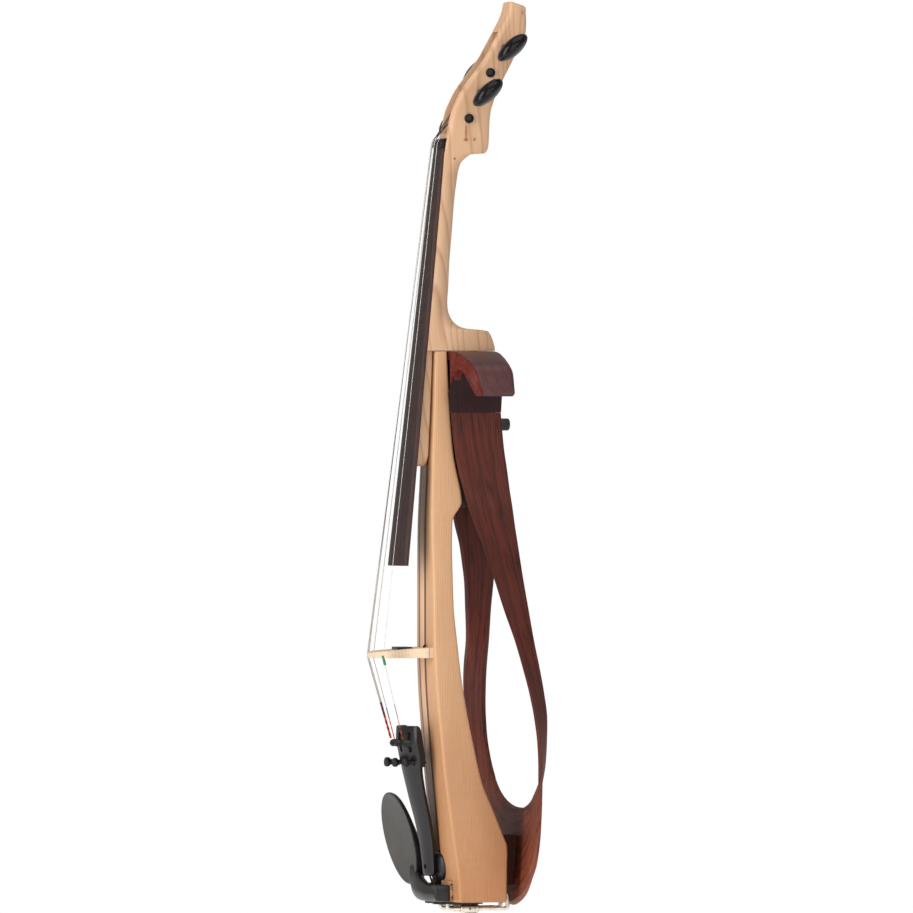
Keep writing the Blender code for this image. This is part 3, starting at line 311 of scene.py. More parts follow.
def sweep(points, radius, sides=12, bm=None, grain=True, index=None):
    """Round bar along points; radius is one number or one per point. Its grain is the distance along it."""
    pts = [Vector(p) for p in points]
    radii = radius if hasattr(radius, "__len__") else [radius] * len(pts)
    side = Vector((1, 0, 0)) if abs((pts[1] - pts[0]).normalized().x) < 0.9 else Vector((0, 1, 0))
    sections, places, run = [], [], 0.0
    for i, point in enumerate(pts):
        along = (pts[min(i + 1, len(pts) - 1)] - pts[max(i - 1, 0)]).normalized()
        side = (side - along * side.dot(along)).normalized()
        other = along.cross(side)
        run += (point - pts[i - 1]).length if i else 0.0
        sections.append([point + radii[i] * (math.cos(a) * side + math.sin(a) * other)
                         for a in angles(sides)])
        places.append([(math.cos(a), math.sin(a), run) for a in angles(sides)])
    return loft(sections, bm, grain=places if grain else None, index=index)


def to_object(name, bm, smooth=35):
    bmesh.ops.remove_doubles(bm, verts=bm.verts, dist=1e-4)
    bmesh.ops.recalc_face_normals(bm, faces=bm.faces)
    bmesh.ops.scale(bm, vec=(MM, MM, MM), verts=bm.verts)
    mesh = bpy.data.meshes.new(name)
    bm.to_mesh(mesh)
    bm.free()
    mesh.shade_smooth()
    mesh.set_sharp_from_angle(angle=math.radians(smooth))
    obj = bpy.data.objects.new(name, mesh)
    bpy.context.scene.collection.objects.link(obj)
    return obj


def carve(obj, tools, operation="DIFFERENCE", smooth=35):
    """Cut or join the tool meshes into obj and keep the result as its mesh."""
    made = [to_object(obj.name + "_tool", tool) for tool in tools]
    for tool in made:
        modifier = obj.modifiers.new("carve", "BOOLEAN")
        modifier.operation = operation
        modifier.object = tool
        modifier.solver = "EXACT"
    bpy.context.view_layer.update()
    mesh = bpy.data.meshes.new_from_object(obj.evaluated_get(bpy.context.evaluated_depsgraph_get()))
    obj.modifiers.clear()
    obj.data = mesh
    mesh.name = obj.name
    mesh.set_sharp_from_angle(angle=math.radians(smooth))
    for tool in made:
        bpy.data.objects.remove(tool)
    return obj


def finish_piece(obj, materials, body="root", nodes=()):
    looks = materials if isinstance(materials, (list, tuple)) else [materials]
    while len(obj.data.materials) < len(looks):
        obj.data.materials.append(looks[0])
    for i, material in enumerate(looks):
        obj.data.materials[i] = material
    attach(obj, body)
    if nodes:
        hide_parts(*nodes)
    return obj


def make_piece(name, bm, materials, body="root", nodes=(), smooth=35):
    return finish_piece(to_object(name, bm, smooth), materials, body, nodes)


# ---------------------------------------------------------------- materials
def srgb(red, green, blue):
    """Linear colour from 0-255 display values."""
    return (*(((c / 255 + 0.055) / 1.055) ** 2.4 for c in (red, green, blue)), 1.0)


def toned(colour, factor, lift=0.0):
    """The linear colour made lighter or darker, with its alpha kept at 1."""
    return tuple(min(1.0, c * factor + lift) for c in colour[:3]) + (1.0,)


class Shader:
    """Short way to build a node material: each call adds a node and returns its output."""

    def __init__(self, name, rough=0.4, metal=0.0, coat=0.0, coat_rough=0.2, specular=0.5):
        self.material = bpy.data.materials.new(name)
        self.material.use_nodes = True
        self.tree = self.material.node_tree
        self.main = self.tree.nodes["Principled BSDF"]
        self.main.inputs["Roughness"].default_value = rough
        self.main.inputs["Metallic"].default_value = metal
        self.main.inputs["Coat Weight"].default_value = coat
        self.main.inputs["Coat Roughness"].default_value = coat_rough
        self.main.inputs["Specular IOR Level"].default_value = specular

    def node(self, kind, inputs=(), out=0, **settings):
        node = self.tree.nodes.new("ShaderNode" + kind)
        for key, value in settings.items():
            setattr(node, key, value)
        for key, value in dict(inputs).items():
            self.put(node.inputs[key], value)
        return node.outputs[out]

    def put(self, socket, value):
        if isinstance(value, bpy.types.NodeSocket):
            self.tree.links.new(value, socket)
        else:
            socket.default_value = value

    def use(self, name, value):
        self.put(self.main.inputs[name], value)

    def object_place(self):
        return self.node("TexCoord", out=3)

    def grain_place(self):
        return self.node("Attribute", out=1, attribute_name="grain")

    def stretch(self, place, scale, turn=(0, 0, 0), move=(0, 0, 0)):
        return self.node("Mapping", {"Vector": place, "Scale": scale, "Rotation": turn, "Location": move})

    def noise(self, place, detail=3.0, rough=0.5):
        return self.node("TexNoise", {"Vector": place, "Scale": 1.0, "Detail": detail, "Roughness": rough})

    def maths(self, kind, a, b=0.0, c=0.0):
        return self.node("Math", {0: a, 1: b, 2: c}, operation=kind)

    def span(self, value, low, high, to_low=0.0, to_high=1.0):
        return self.node("MapRange", {0: value, 1: low, 2: high, 3: to_low, 4: to_high})

    def axis(self, place, k):
        return self.node("SeparateXYZ", {0: place}, out=k)

    def mix(self, share, a, b):
        return self.node("Mix", {0: share, 6: a, 7: b}, out=2, data_type="RGBA")

    def bump(self, height, distance, strength):
        return self.node("Bump", {"Height": height, "Distance": distance, "Strength": strength})


def wood(name, light, dark, line, ring=0.004, line_share=0.5, blotch=0.35, fibre=0.25, pores=0.0,
         pore_colour=None, figure=0.0, rough=0.42, coat=0.15, turn=(0, 0, 0), grained=False, waves=1.0,
         painted_shade_spots=(), painted_shading=None, specular=0.3):
    """Wood with growth lines, fibre streaks, cloudy tone and open pores at their real size.

    ring is the spacing of growth lines in metres; figure adds short bands across the grain; the height
    shading is (start Z, end Z, light, dark): painted light and shade, the tones the wood takes between the
    two heights.
    """
    s = Shader(name, rough, coat=coat, coat_rough=0.35, specular=specular)
    place = s.grain_place() if grained else s.object_place()
    # painted light and shade: the wood's tones shift with height for the light that falls there
    if painted_shading:
        share = s.span(s.axis(s.object_place(), 2), painted_shading[0], painted_shading[1])
        light, dark = s.mix(share, light, painted_shading[2]), s.mix(share, dark, painted_shading[3])
    if any(turn):
        place = s.stretch(place, (1, 1, 1), turn)
    drift = s.noise(s.stretch(place, (16, 16, 3.2)), 2.0, 0.45)
    fine_drift = s.noise(s.stretch(place, (70, 70, 9)), 2.0, 0.5)
    count = s.maths("MULTIPLY_ADD", s.axis(place, 0), 0.55 / ring, 0.0)
    count = s.maths("MULTIPLY_ADD", s.axis(place, 1), 0.85 / ring, count)
    count = s.maths("MULTIPLY_ADD", drift, 9.0 * waves, count)
    count = s.maths("MULTIPLY_ADD", fine_drift, 0.9 * waves, count)
    saw = s.maths("FRACT", count)
    rings = s.node("ValToRGB", {0: saw})
    ramp = rings.node.color_ramp
    ramp.elements[0].position, ramp.elements[0].color = 0.0, (0, 0, 0, 1)
    ramp.elements[1].position, ramp.elements[1].color = 1.0, (0, 0, 0, 1)
    for position, value in ((0.62, 0.25), (0.84, 1.0), (0.93, 0.45)):
        ramp.elements.new(position).color = (value, value, value, 1)
    streak = s.noise(s.stretch(place, (1100, 1100, 26)), 3.0, 0.6)
    cloud = s.noise(s.stretch(place, (38, 38, 9)), 3.0, 0.55)
    colour = s.mix(s.span(cloud, 0.32, 0.7, 0.0, blotch), light, dark)
    colour = s.mix(s.span(streak, 0.35, 0.75, 0.0, fibre), colour, dark)
    colour = s.mix(s.maths("MULTIPLY", rings, line_share), colour, line)
    if figure:
        band = s.noise(s.stretch(place, (60, 60, 620)), 2.0, 0.6)
        colour = s.mix(s.span(band, 0.42, 0.72, 0.0, figure), colour, dark)
    height = s.maths("MULTIPLY_ADD", streak, 0.5, s.maths("MULTIPLY", rings, -0.15))
    if pores:
        pore = s.noise(s.stretch(place, (950, 950, 55)), 2.0, 0.4)
        patch = s.span(s.noise(s.stretch(place, (90, 90, 12)), 2.0), 0.3, 0.75, 0.35, 1.0)
        open_pore = s.maths("MULTIPLY", s.span(pore, 0.56, 0.66), patch)
        colour = s.mix(s.maths("MULTIPLY", open_pore, pores), colour, pore_colour)
        height = s.maths("MULTIPLY_ADD", open_pore, -1.2, height)
    # painted shade: darker spots with ragged edges, blended into the wood
    for centre, size, shade in painted_shade_spots:
        spot = s.stretch(place, tuple(1 / r for r in size),
                         move=tuple(-c / r for c, r in zip(centre, size)))
        length = s.node("VectorMath", {0: spot}, out=1, operation="LENGTH")
        ragged = s.maths("MULTIPLY_ADD", streak, 1.1, length)
        colour = s.mix(s.span(ragged, 1.1, 1.7, 0.75, 0.0), colour, shade)
    s.use("Base Color", colour)
    s.use("Roughness", s.span(streak, 0.2, 0.8, rough - 0.07, rough + 0.09))
    s.use("Normal", s.bump(height, 0.00012, 0.5))
    return s.material


def plastic(name, colour, rough, specular=0.5, coat=0.0):
    """Moulded plastic or lacquered metal: slightly uneven gloss, a fine skin, faint handling wear."""
    s = Shader(name, rough, coat=coat, coat_rough=0.12, specular=specular)
    place = s.object_place()
    uneven = s.noise(s.stretch(place, (60, 60, 60)), 4.0, 0.6)
    skin = s.noise(s.stretch(place, (900, 900, 900)), 2.0, 0.5)
    s.use("Base Color", s.mix(s.span(uneven, 0.35, 0.75), colour, toned(colour, 1.4, 0.002)))
    s.use("Roughness", s.span(uneven, 0.25, 0.75, rough - 0.06, rough + 0.06))
    s.use("Normal", s.bump(skin, 0.00002, 0.35))
    return s.material


def metal(name, colour, rough, depth=0.00001):
    """Finely brushed metal with duller patches; depth is the height of the brushing in metres."""
    s = Shader(name, rough, metal=1.0)
    place = s.object_place()
    brush = s.noise(s.stretch(place, (300, 300, 300)), 3.0, 0.6)
    tarnish = s.noise(s.stretch(place, (110, 110, 110)), 3.0, 0.5)
    s.use("Base Color", s.mix(s.span(tarnish, 0.4, 0.75, 0.0, 0.7), colour, toned(colour, 0.72)))
    s.use("Roughness", s.span(brush, 0.3, 0.75, max(rough - 0.06, 0.04), rough + 0.08))
    s.use("Normal", s.bump(brush, depth, 0.4))
    return s.material


def wound_string(name, colour, pitch):
    """Flat-wound string: a fine thread of turns along its length."""
    s = Shader(name, 0.3, metal=1.0)
    run = s.axis(s.grain_place(), 2)
    turn = s.maths("SINE", s.maths("MULTIPLY", run, 2 * math.pi / pitch))
    s.use("Base Color", s.mix(s.span(turn, -1.0, 1.0), toned(colour, 0.85), colour))
    s.use("Normal", s.bump(turn, 0.00001, 0.3))
    return s.material


def silk(name, first, second, pitch=0.0016):
    """Silk wrapping in two colours that alternate along the string, with its fine thread."""
    s = Shader(name, 0.75, specular=0.3)
    place = s.grain_place()
    run = s.axis(place, 2)
    wobble = s.noise(s.stretch(place, (0.5, 0.5, 700)), 2.0)
    phase = s.maths("FRACT", s.maths("MULTIPLY_ADD", wobble, 0.35, s.maths("MULTIPLY", run, 1 / pitch)))
    share = s.node("MapRange", {0: phase, 1: 0.5, 2: 0.58, 3: 0.0, 4: 1.0},
                   interpolation_type="SMOOTHSTEP")
    s.use("Base Color", s.mix(share, first, second))
    thread = s.maths("SINE", s.maths("MULTIPLY", run, 2 * math.pi / 0.00025))
    s.use("Normal", s.bump(thread, 0.00003, 0.7))
    return s.material


def cork_material():
    s = Shader("cork", 0.85, specular=0.2)
    place = s.object_place()
    cells = s.node("TexVoronoi", {"Vector": s.stretch(place, (900, 900, 900)), "Scale": 1.0}, out=0)
    flecks = s.noise(s.stretch(place, (420, 420, 420)), 3.0, 0.7)
    colour = s.mix(s.span(cells, 0.1, 0.75), srgb(96, 66, 48), srgb(176, 136, 104))
    colour = s.mix(s.span(flecks, 0.5, 0.66), colour, srgb(70, 44, 34))
    s.use("Base Color", colour)
    s.use("Normal", s.bump(s.maths("MULTIPLY_ADD", flecks, -0.6, cells), 0.0003, 0.7))
    return s.material


# Painted shade on the near side of the head and neck: darker orange-brown spots along the ledge's rounding
# and by the head's back edge, where the surface turns from the light.
NECK_PAINTED_SHADE = (
    ((0.013, -0.0099, 0.0134), (0.004, 0.0008, 0.0058), srgb(150, 84, 44)),
    ((0.013, -0.0042, 0.0087), (0.004, 0.0012, 0.0013), srgb(150, 84, 44)),
    ((0.013, -0.0099, 0.0085), (0.004, 0.0013, 0.0013), srgb(120, 62, 32)),
    ((0.013, 0.0276, 0.0905), (0.004, 0.0008, 0.0016), srgb(160, 96, 54)),
    ((0.012, -0.0172, -0.0037), (0.006, 0.0009, 0.0011), srgb(140, 84, 46)),
)

MAPLE = wood("maple", srgb(220, 182, 148), srgb(194, 150, 114), srgb(156, 106, 70), ring=0.0058,
             line_share=0.5, blotch=0.6, fibre=0.22, figure=0.05, rough=0.46, coat=0.05, waves=2.2,
             painted_shade_spots=NECK_PAINTED_SHADE)
BRIDGE_MAPLE = wood("bridge_maple", srgb(234, 212, 184), srgb(212, 180, 146), srgb(186, 142, 108),
                    ring=0.0016, line_share=0.35, blotch=0.3, fibre=0.5, figure=0.2, rough=0.55, coat=0.0,
                    waves=0.4)
CORE_MAPLE = wood("core_maple", srgb(238, 200, 160), srgb(216, 170, 126), srgb(190, 136, 92), ring=0.004,
                  line_share=0.3, blotch=0.4, fibre=0.3, figure=0.08, rough=0.4, coat=0.2)
# The spruce is painted darker and more orange towards the body's lower end: painted shade for the light
# falling off there.
SPRUCE = wood("spruce", srgb(214, 170, 130), srgb(190, 142, 100), srgb(168, 116, 76), ring=0.0014,
              line_share=0.36, blotch=0.4, fibre=0.34, figure=0.13, rough=0.4, coat=0.2, waves=0.35,
              painted_shading=(-0.33, -0.48, srgb(192, 136, 92), srgb(160, 104, 68)))
MAHOGANY = wood("mahogany", srgb(128, 70, 50), srgb(96, 46, 34), srgb(60, 26, 20), ring=0.003,
                line_share=0.4, blotch=0.5, fibre=0.6, pores=0.6, pore_colour=srgb(40, 18, 14), rough=0.42)
WALNUT_LOOK = dict(line_share=0.42, blotch=0.75, fibre=0.65, pores=0.85, pore_colour=srgb(20, 8, 8),
                   rough=0.5, coat=0.0, waves=0.45, specular=0.2)
# Painted light: the walnut frame turns lighter and more orange towards the tail, where its faces catch the
# light.
TAIL_PAINTED_LIGHT = (-0.36, -0.47, srgb(146, 76, 48), srgb(92, 44, 32))
WALNUT = wood("walnut_ribbon", srgb(106, 48, 36), srgb(54, 20, 18), srgb(30, 12, 12), ring=0.0046,
              grained=True, painted_shading=TAIL_PAINTED_LIGHT, **WALNUT_LOOK)
# Darker walnut for the tail block: painted shade for the shadow between the body and the tail plate.
WALNUT_BLOCK_PAINTED_SHADE = wood("walnut_block_painted_shade", srgb(86, 42, 32), srgb(58, 28, 23), srgb(40, 18, 16), ring=0.0046,
                    **WALNUT_LOOK)
# Darker copy of the walnut: painted shade for the shoulder's inner walls, the front under its arch and the
# cavity plates, all lying in shadow.
WALNUT_PAINTED_SHADE = wood("walnut_painted_shade", srgb(54, 24, 26), srgb(32, 14, 17), srgb(20, 8, 11), ring=0.0046,
                   **WALNUT_LOOK)
WALNUT_CUT = wood("walnut_cut", srgb(112, 38, 30), srgb(78, 26, 23), srgb(50, 16, 16), ring=0.003,
                  turn=(0, math.pi / 2, 0), **WALNUT_LOOK)
# Greyer walnut for the shoulder's rounded back: the wood's colour with a painted sheen of the white
# surroundings.
WALNUT_TOP_PAINTED_SHEEN = wood("walnut_top_painted_sheen", srgb(96, 56, 54), srgb(68, 38, 40), srgb(46, 25, 28), ring=0.006,
                  turn=(0, math.pi / 2, 0), line_share=0.3, blotch=0.9, fibre=0.4, pores=0.4,
                  pore_colour=srgb(40, 20, 20), rough=0.4, coat=0.1, waves=0.5, specular=0.3)
EBONY_LOOK = dict(ring=0.003, line_share=0.4, blotch=0.6, fibre=0.7, pores=0.5, rough=0.48, coat=0.0,
                  waves=0.3, specular=0.25)
EBONY = wood("ebony", srgb(62, 46, 43), srgb(40, 30, 29), srgb(24, 17, 17), pore_colour=srgb(16, 11, 11),
             **EBONY_LOOK)
EBONY_SIDE = wood("ebony_side", srgb(82, 54, 50), srgb(58, 38, 37), srgb(40, 20, 20),
                  pore_colour=srgb(24, 12, 12), **EBONY_LOOK)
BLACK = plastic("black_plastic", srgb(22, 19, 21), 0.34, specular=0.4)
CHIN_BLACK = plastic("chinrest_black", srgb(26, 24, 24), 0.32, specular=0.4)
# Grey copy of the chin rest's black for the top face of its cup: painted sheen, the satin plastic's
# reflection of the light.
CHIN_FACE_PAINTED_SHEEN = plastic("chinrest_face_painted_sheen", srgb(66, 64, 62), 0.5)
PEG_BLACK = plastic("peg_black", srgb(14, 9, 12), 0.18, specular=0.2, coat=0.05)
TUNER_BLACK = plastic("tuner_black", srgb(16, 13, 15), 0.3, specular=0.35, coat=0.05)
STEEL = metal("steel", srgb(205, 203, 198), 0.26)
CHROME = metal("chrome", srgb(236, 226, 212), 0.34, depth=0.000004)
STRING_STEEL = metal("string_steel", srgb(222, 221, 218), 0.3, depth=0.000003)
GREEN = plastic("green_sleeve", srgb(24, 120, 62), 0.5)
CORK = cork_material()


# ---------------------------------------------------------------- neck, board and nut
def board_share(z):
    return (BOARD_TOP_Z - z) / (BOARD_TOP_Z - BOARD_END_Z)


def board_under(z):
    return lerp(-23.6, -49.5, board_share(z))


def board_half(z):
    return lerp(12.0, 21.0, board_share(z))


def board_top(x, z):
    return lerp(-27.2, -57.5, board_share(z)) + BOARD_RADIUS - math.sqrt(BOARD_RADIUS ** 2 - x * x)


def body_front(x, z):
    half = at(BODY_HALF, z)
    return at(BODY_FRONT_EDGE, z) - (half * half - x * x) / (2 * BODY_CROWN_RADIUS)


def neck_section(z, front, back, half, square, corner, tilt=0.0, shrink=0.0):
    """Flat front with round corners and a superellipse back; tilt slopes the cut down to the back."""
    front, back, half = front + shrink, back - shrink, half - shrink
    points = []
    for k in range(7):
        a = math.radians(lerp(-90, 0, k / 6))
        points.append((half - corner + corner * math.cos(a), front + corner + corner * math.sin(a)))
    start = front + corner + min(0.6, 0.2 * (back - front))
    for k in range(33):
        a = math.pi * k / 32
        c, s = math.cos(a), math.sin(a)
        points.append((half * math.copysign(abs(c) ** (2 / square), c),
                       start + (back - start) * abs(s) ** (2 / square)))
    points += [(-x, y) for x, y in reversed(points[:7])]
    return [(x, y, z - tilt * (y - front)) for x, y in points]


def neck_half(z):
    share = unit((z + 18) / 30)
    return lerp(board_half(z) - 0.2, 13, share * share * (3 - 2 * share))


def make_neck():
    columns = [[(row[0], row[k]) for row in HEAD[2:]] for k in (1, 2, 3, 4)]
    sections = []
    top = 97.6
    for shrink, drop in ((0.9, 0.0), (0.45, 0.12), (0.12, 0.45), (0.0, 1.0)):
        sections.append(neck_section(top - drop, 19.6, 30.6, 11.4, 8, 3.2, 0.34, shrink))
    for z in levels(94.6, 1.2, 2.6):
        front, back, half, square = (at(column, z) for column in columns)
        if z > 90:
            back = lerp(30.8, 30.6, (z - 90) / 7)
            front, half = lerp(18.0, 19.6, ((z - 90) / 7) ** 0.7), lerp(12.2, 11.4, (z - 90) / 7)
        half, square = min(half, neck_half(z)), min(square, lerp(5, 8, min(z / 14, 1)))
        share = unit((z - 74) / 20)
        corner = lerp(0.8, 3.4, unit((z - 1) / 13))
        sections.append(neck_section(z, front, back, half, square, corner, 0.34 * share))
    for z in (0.4, 0, *levels(-0.6, -16, 1.1), *levels(-18, -100, 4.0), *levels(-101.5, HEEL_Z, 0.75)):
        back = 4.4 if z >= 0 else at(NECK_BACK + ((HEEL_Z, 11.2),), z)
        square = 5 if z >= 0 else lerp(5, 2.2, min(-z / 12, 1))
        if z < -100:
            square = lerp(2.2, 3.5, min((-z - 100) / 14, 1))
        sections.append(neck_section(z, board_under(z) + BOARD_CONTACT, back, neck_half(z), square, 0.6))
    for z in (HEEL_Z - 0.02, -140, -160, -180, -194):
        back = body_front(0, z) - CONTACT
        sections.append(neck_section(z, board_under(z) + BOARD_CONTACT, back, 14, 9, 0.6))
    for z, shrink, half in ((-198, 0.3, 13.4), (-200, 1.2, 12.2), (TONGUE_END_Z, 2.4, 10.5)):
        back = body_front(0, z) - CONTACT - shrink
        sections.append(neck_section(z, board_under(z) + BOARD_CONTACT, back, half, 6, 0.5))
    neck = to_object("neck_wood", loft(sections), 40)
    slot = [(-40, 12.5), (-9, 12.5), (-2.5, 17), (0.5, 22), (4.0, 30), (7.5, 38.3), (13, 50), (19.2, 62),
            (21.8, 69), (21.6, 74), (18.5, 77.5), (10, 78.5), (-10, 78)]
    tools = [slab(slot, -8.0, 8.0, "x", 0.01)]
    for y, z in PEG_AXIS.values():
        tools.append(turned(((-30, PEG_HOLE_RADIUS), (30, PEG_HOLE_RADIUS)), (0, y, z), (1, 0, 0), 40))
    for x in HEEL_SCREW_XS:
        hole = ((-1, HEEL_HOLE_RADIUS), (12.5, HEEL_HOLE_RADIUS))
        tools.append(turned(hole, (x, HEEL_SCREW_Y, HEEL_Z), (0, 0, 1), 24))
    finish_piece(carve(neck, tools, smooth=40), MAPLE, nodes=["neck"])


def make_fingerboard():
    sections = []
    stations = [(BOARD_TOP_Z, 0.4), (BOARD_TOP_Z - 0.15, 0.12), (BOARD_TOP_Z - 0.4, 0.0)]
    stations += [(z, 0.0) for z in levels(-8, BOARD_END_Z + 8, 12)]
    stations += [(BOARD_END_Z + 0.7, 0.0), (BOARD_END_Z + 0.2, 0.2), (BOARD_END_Z, 0.7)]
    for z, shrink in stations:
        half, under = board_half(z) - shrink, board_under(z) + shrink * 0.3
        hollow = 2.4 * unit((-z - 203) / 30)
        side = [(half - 0.5, under), (half - 0.12, under - 0.12), (half, under - 0.5)]
        high = board_top(half, z)
        side += [(half, high + 0.8), (half - 0.12, high + 0.35), (half - 0.45, high + shrink)]
        crown = [(half * x, board_top(half * x, z) + shrink) for x in levels(0.94, -0.94, 0.08)]
        base = [(half * x, under - hollow * (1 - (x / 0.84) ** 2)) for x in levels(-0.84, 0.84, 0.12)]
        ring = side + crown + [(-x, y) for x, y in reversed(side)] + base
        sections.append([(x, y, z) for x, y in ring])
    bm = loft(sections, index=lambda i, k: 1 if k < 4 or k > 4 + 2 + 24 else 0)
    make_piece("fingerboard_wood", bm, [EBONY, EBONY_SIDE], nodes=["fingerboard"], smooth=40)


def make_nut():
    half = 12.0
    sections = []
    profile = ((BOARD_TOP_Z + 0.05, 0.5), (BOARD_TOP_Z + 0.2, 0.1), (BOARD_TOP_Z + 0.7, -0.1), (5.0, -0.25),
               (6.0, -0.28), (7.0, -0.1), (7.9, 0.45), (8.6, 1.2), (9.1, 2.2), (9.3, 3.0))
    for z, drop in profile:
        ring = [(-half + 0.3, -23.5, z), (half - 0.3, -23.5, z), (half, -24.0, z)]
        for x in levels(half, -half, 0.5):
            groove = max(0.35 * (1 - ((x - sx) / 0.55) ** 2) for sx in NUT_X.values())
            edge = 0.6 * max(abs(x) - half + 1.2, 0) ** 2
            ring.append((x, board_top(x, BOARD_TOP_Z) - 0.7 + drop + edge + max(groove, 0), z))
        ring.append((-half, -24.0, z))
        sections.append(ring)
    make_piece("nut_block", loft(sections), PEG_BLACK, nodes=["nut"], smooth=50)


# ---------------------------------------------------------------- laminated body
def body_stations():
    inner = sorted(set(levels(BODY_TOP_Z - 1.2, BODY_END_Z + 1.2, 4.0) + list(levels(-216, -240, 1.5))),
                   reverse=True)
    ends = [(BODY_TOP_Z, 0.6), (BODY_TOP_Z - 0.2, 0.2), (BODY_TOP_Z - 0.7, 0.0)]
    return ends + [(z, 0.0) for z in inner] + [(BODY_END_Z + 0.7, 0.0), (BODY_END_Z + 0.2, 0.2),
                                               (BODY_END_Z, 0.6)]


def make_strip(name, low, high, look):
    sections = []
    for z, shrink in body_stations():
        back = at(BODY_BACK, z) - shrink
        front = [(x, body_front(x, z) + shrink, z) for x in levels(high, low, 1.5)]
        sections.append([(low, back, z), (high, back, z)] + front)
    make_piece(name + "_wood", loft(sections), look, nodes=[name])


def make_side(name, sign):
    radius, inner = SIDE_FRONT_RADIUS, SIDE_INNER
    sections = []
    for z, shrink in body_stations():
        half, back = at(BODY_HALF, z) - shrink, at(BODY_BACK, z) - shrink
        edge = half - radius
        points = [(inner, back), (inner, body_front(inner, z) + shrink)]
        across = levels(lerp(inner, edge, 0.15), edge, 3.0)[:-1][:5]
        while len(across) < 5:
            across.append(lerp(across[-1], edge, 0.5))
        points += [(x, body_front(x, z) + shrink) for x in across]
        front = body_front(edge, z) + shrink
        for k in range(9):
            turn = math.radians(90 * k / 8)
            points.append((edge + radius * math.sin(turn), front + radius * (1 - math.cos(turn))))
        for k in range(6):
            turn = math.radians(90 * k / 5)
            points.append((half - 1.5 + 1.5 * math.cos(turn), back - 1.5 + 1.5 * math.sin(turn)))
        sections.append([(sign * x, y, z) for x, y in points])
    make_piece(name + "_wood", loft(sections), SPRUCE, nodes=[name], smooth=40)


def make_body():
    make_strip("body_core", -CORE_HALF, CORE_HALF, CORE_MAPLE)
    low, high = STRIP_HALVES
    make_strip("body_strip_treble", low, high, MAHOGANY)
    make_strip("body_strip_bass", -high, -low, MAHOGANY)
    make_side("body_side_treble", 1)
    make_side("body_side_bass", -1)


# ---------------------------------------------------------------- wooden frame
def ribbon(pairs, name, side=1, cuts=()):
    """Twisting strip from pairs of edge points on its outer face; its long edges are cut slanting."""
    pairs = [(Vector(a), Vector(b)) for a, b in pairs]
    sections, places, run = [], [], 0.0
    for i, (front, back) in enumerate(pairs):
        before, after = pairs[max(i - 1, 0)], pairs[min(i + 1, len(pairs) - 1)]
        along = (after[0] + after[1] - before[0] - before[1]) / 2
        across = back - front
        normal = side * across.cross(along)
        if i in (0, len(pairs) - 1):
            normal.z = 0
        normal.normalize()
        width = across.length
        across.normalize()
        if i:
            run += ((front + back) / 2 - (pairs[i - 1][0] + pairs[i - 1][1]) / 2).length
        corners = [(0, 0), (width, 0), (width - 1.0, FRAME_THICKNESS), (2.4, FRAME_THICKNESS)]
        curve = rounded(corners, (0.6, 0.5, 0.5, 0.6), 4)
        flat = []
        for k in range(4):
            flat += curve[5 * k:5 * k + 5]
            if k in (0, 2):
                a, b = curve[5 * k + 4], curve[(5 * k + 5) % 20]
                flat += [a.lerp(b, t / 8) for t in range(1, 8)]
        sections.append([front + across * p.x + normal * p.y for p in flat])
        places.append([(p.x - width / 2, p.y, run) for p in flat])
    obj = to_object(name, loft(sections, grain=places), 40)
    if cuts:
        carve(obj, cuts, smooth=40)
    return obj


def leg_pair(z):
    xf, yf, xb, yb = (at([(row[0], row[k]) for row in LEG], z) for k in (1, 2, 3, 4))
    return (xf, yf, z), (xb, yb, z)


def mirrored(point):
    return (-point[0], point[1], point[2])


def tail_outer(z):
    (rim, hole) = TAIL[-1]
    return lerp(hole[1], rim[1], (hole[2] - z) / (hole[2] - rim[2]))


def make_frame_ribbons():
    pairs = [leg_pair(z) for z in levels(SHOULDER_END_Z - CONTACT, TAIL[0][0][2] + 0.03, 3.2)]
    treble = ribbon(pairs, "frame_leg_treble_wood")
    bass = ribbon([(mirrored(a), mirrored(b)) for a, b in pairs], "frame_leg_bass_wood", -1)
    finish_piece(treble, WALNUT, nodes=["frame_leg_treble"])
    finish_piece(bass, WALNUT, nodes=["frame_leg_bass"])
    whole = list(TAIL) + [(mirrored(a), mirrored(b)) for a, b in reversed(TAIL[:-1])]
    rims, holes = (spline([pair[k] for pair in whole], 7) for k in (0, 1))
    hole = ((-6, TAIL_HOLE_RADIUS), (10, TAIL_HOLE_RADIUS))
    cuts = [turned(hole, (0, 24, z), (0, 1, 0), 32) for z in TAIL_SCREW_ZS]
    tail = ribbon(list(zip(rims, holes)), "frame_tail_wood", cuts=cuts)
    finish_piece(tail, WALNUT, nodes=["frame_tail"])


def even(points, count):
    """Resample a curve at equal steps along its length."""
    run = [0.0]
    for a, b in zip(points, points[1:]):
        run.append(run[-1] + (b - a).length)
    out, i = [], 0
    for k in range(count):
        target = run[-1] * k / (count - 1)
        while i < len(points) - 2 and run[i + 1] < target:
            i += 1
        out.append(points[i].lerp(points[i + 1], unit((target - run[i]) / (run[i + 1] - run[i]))))
    return out


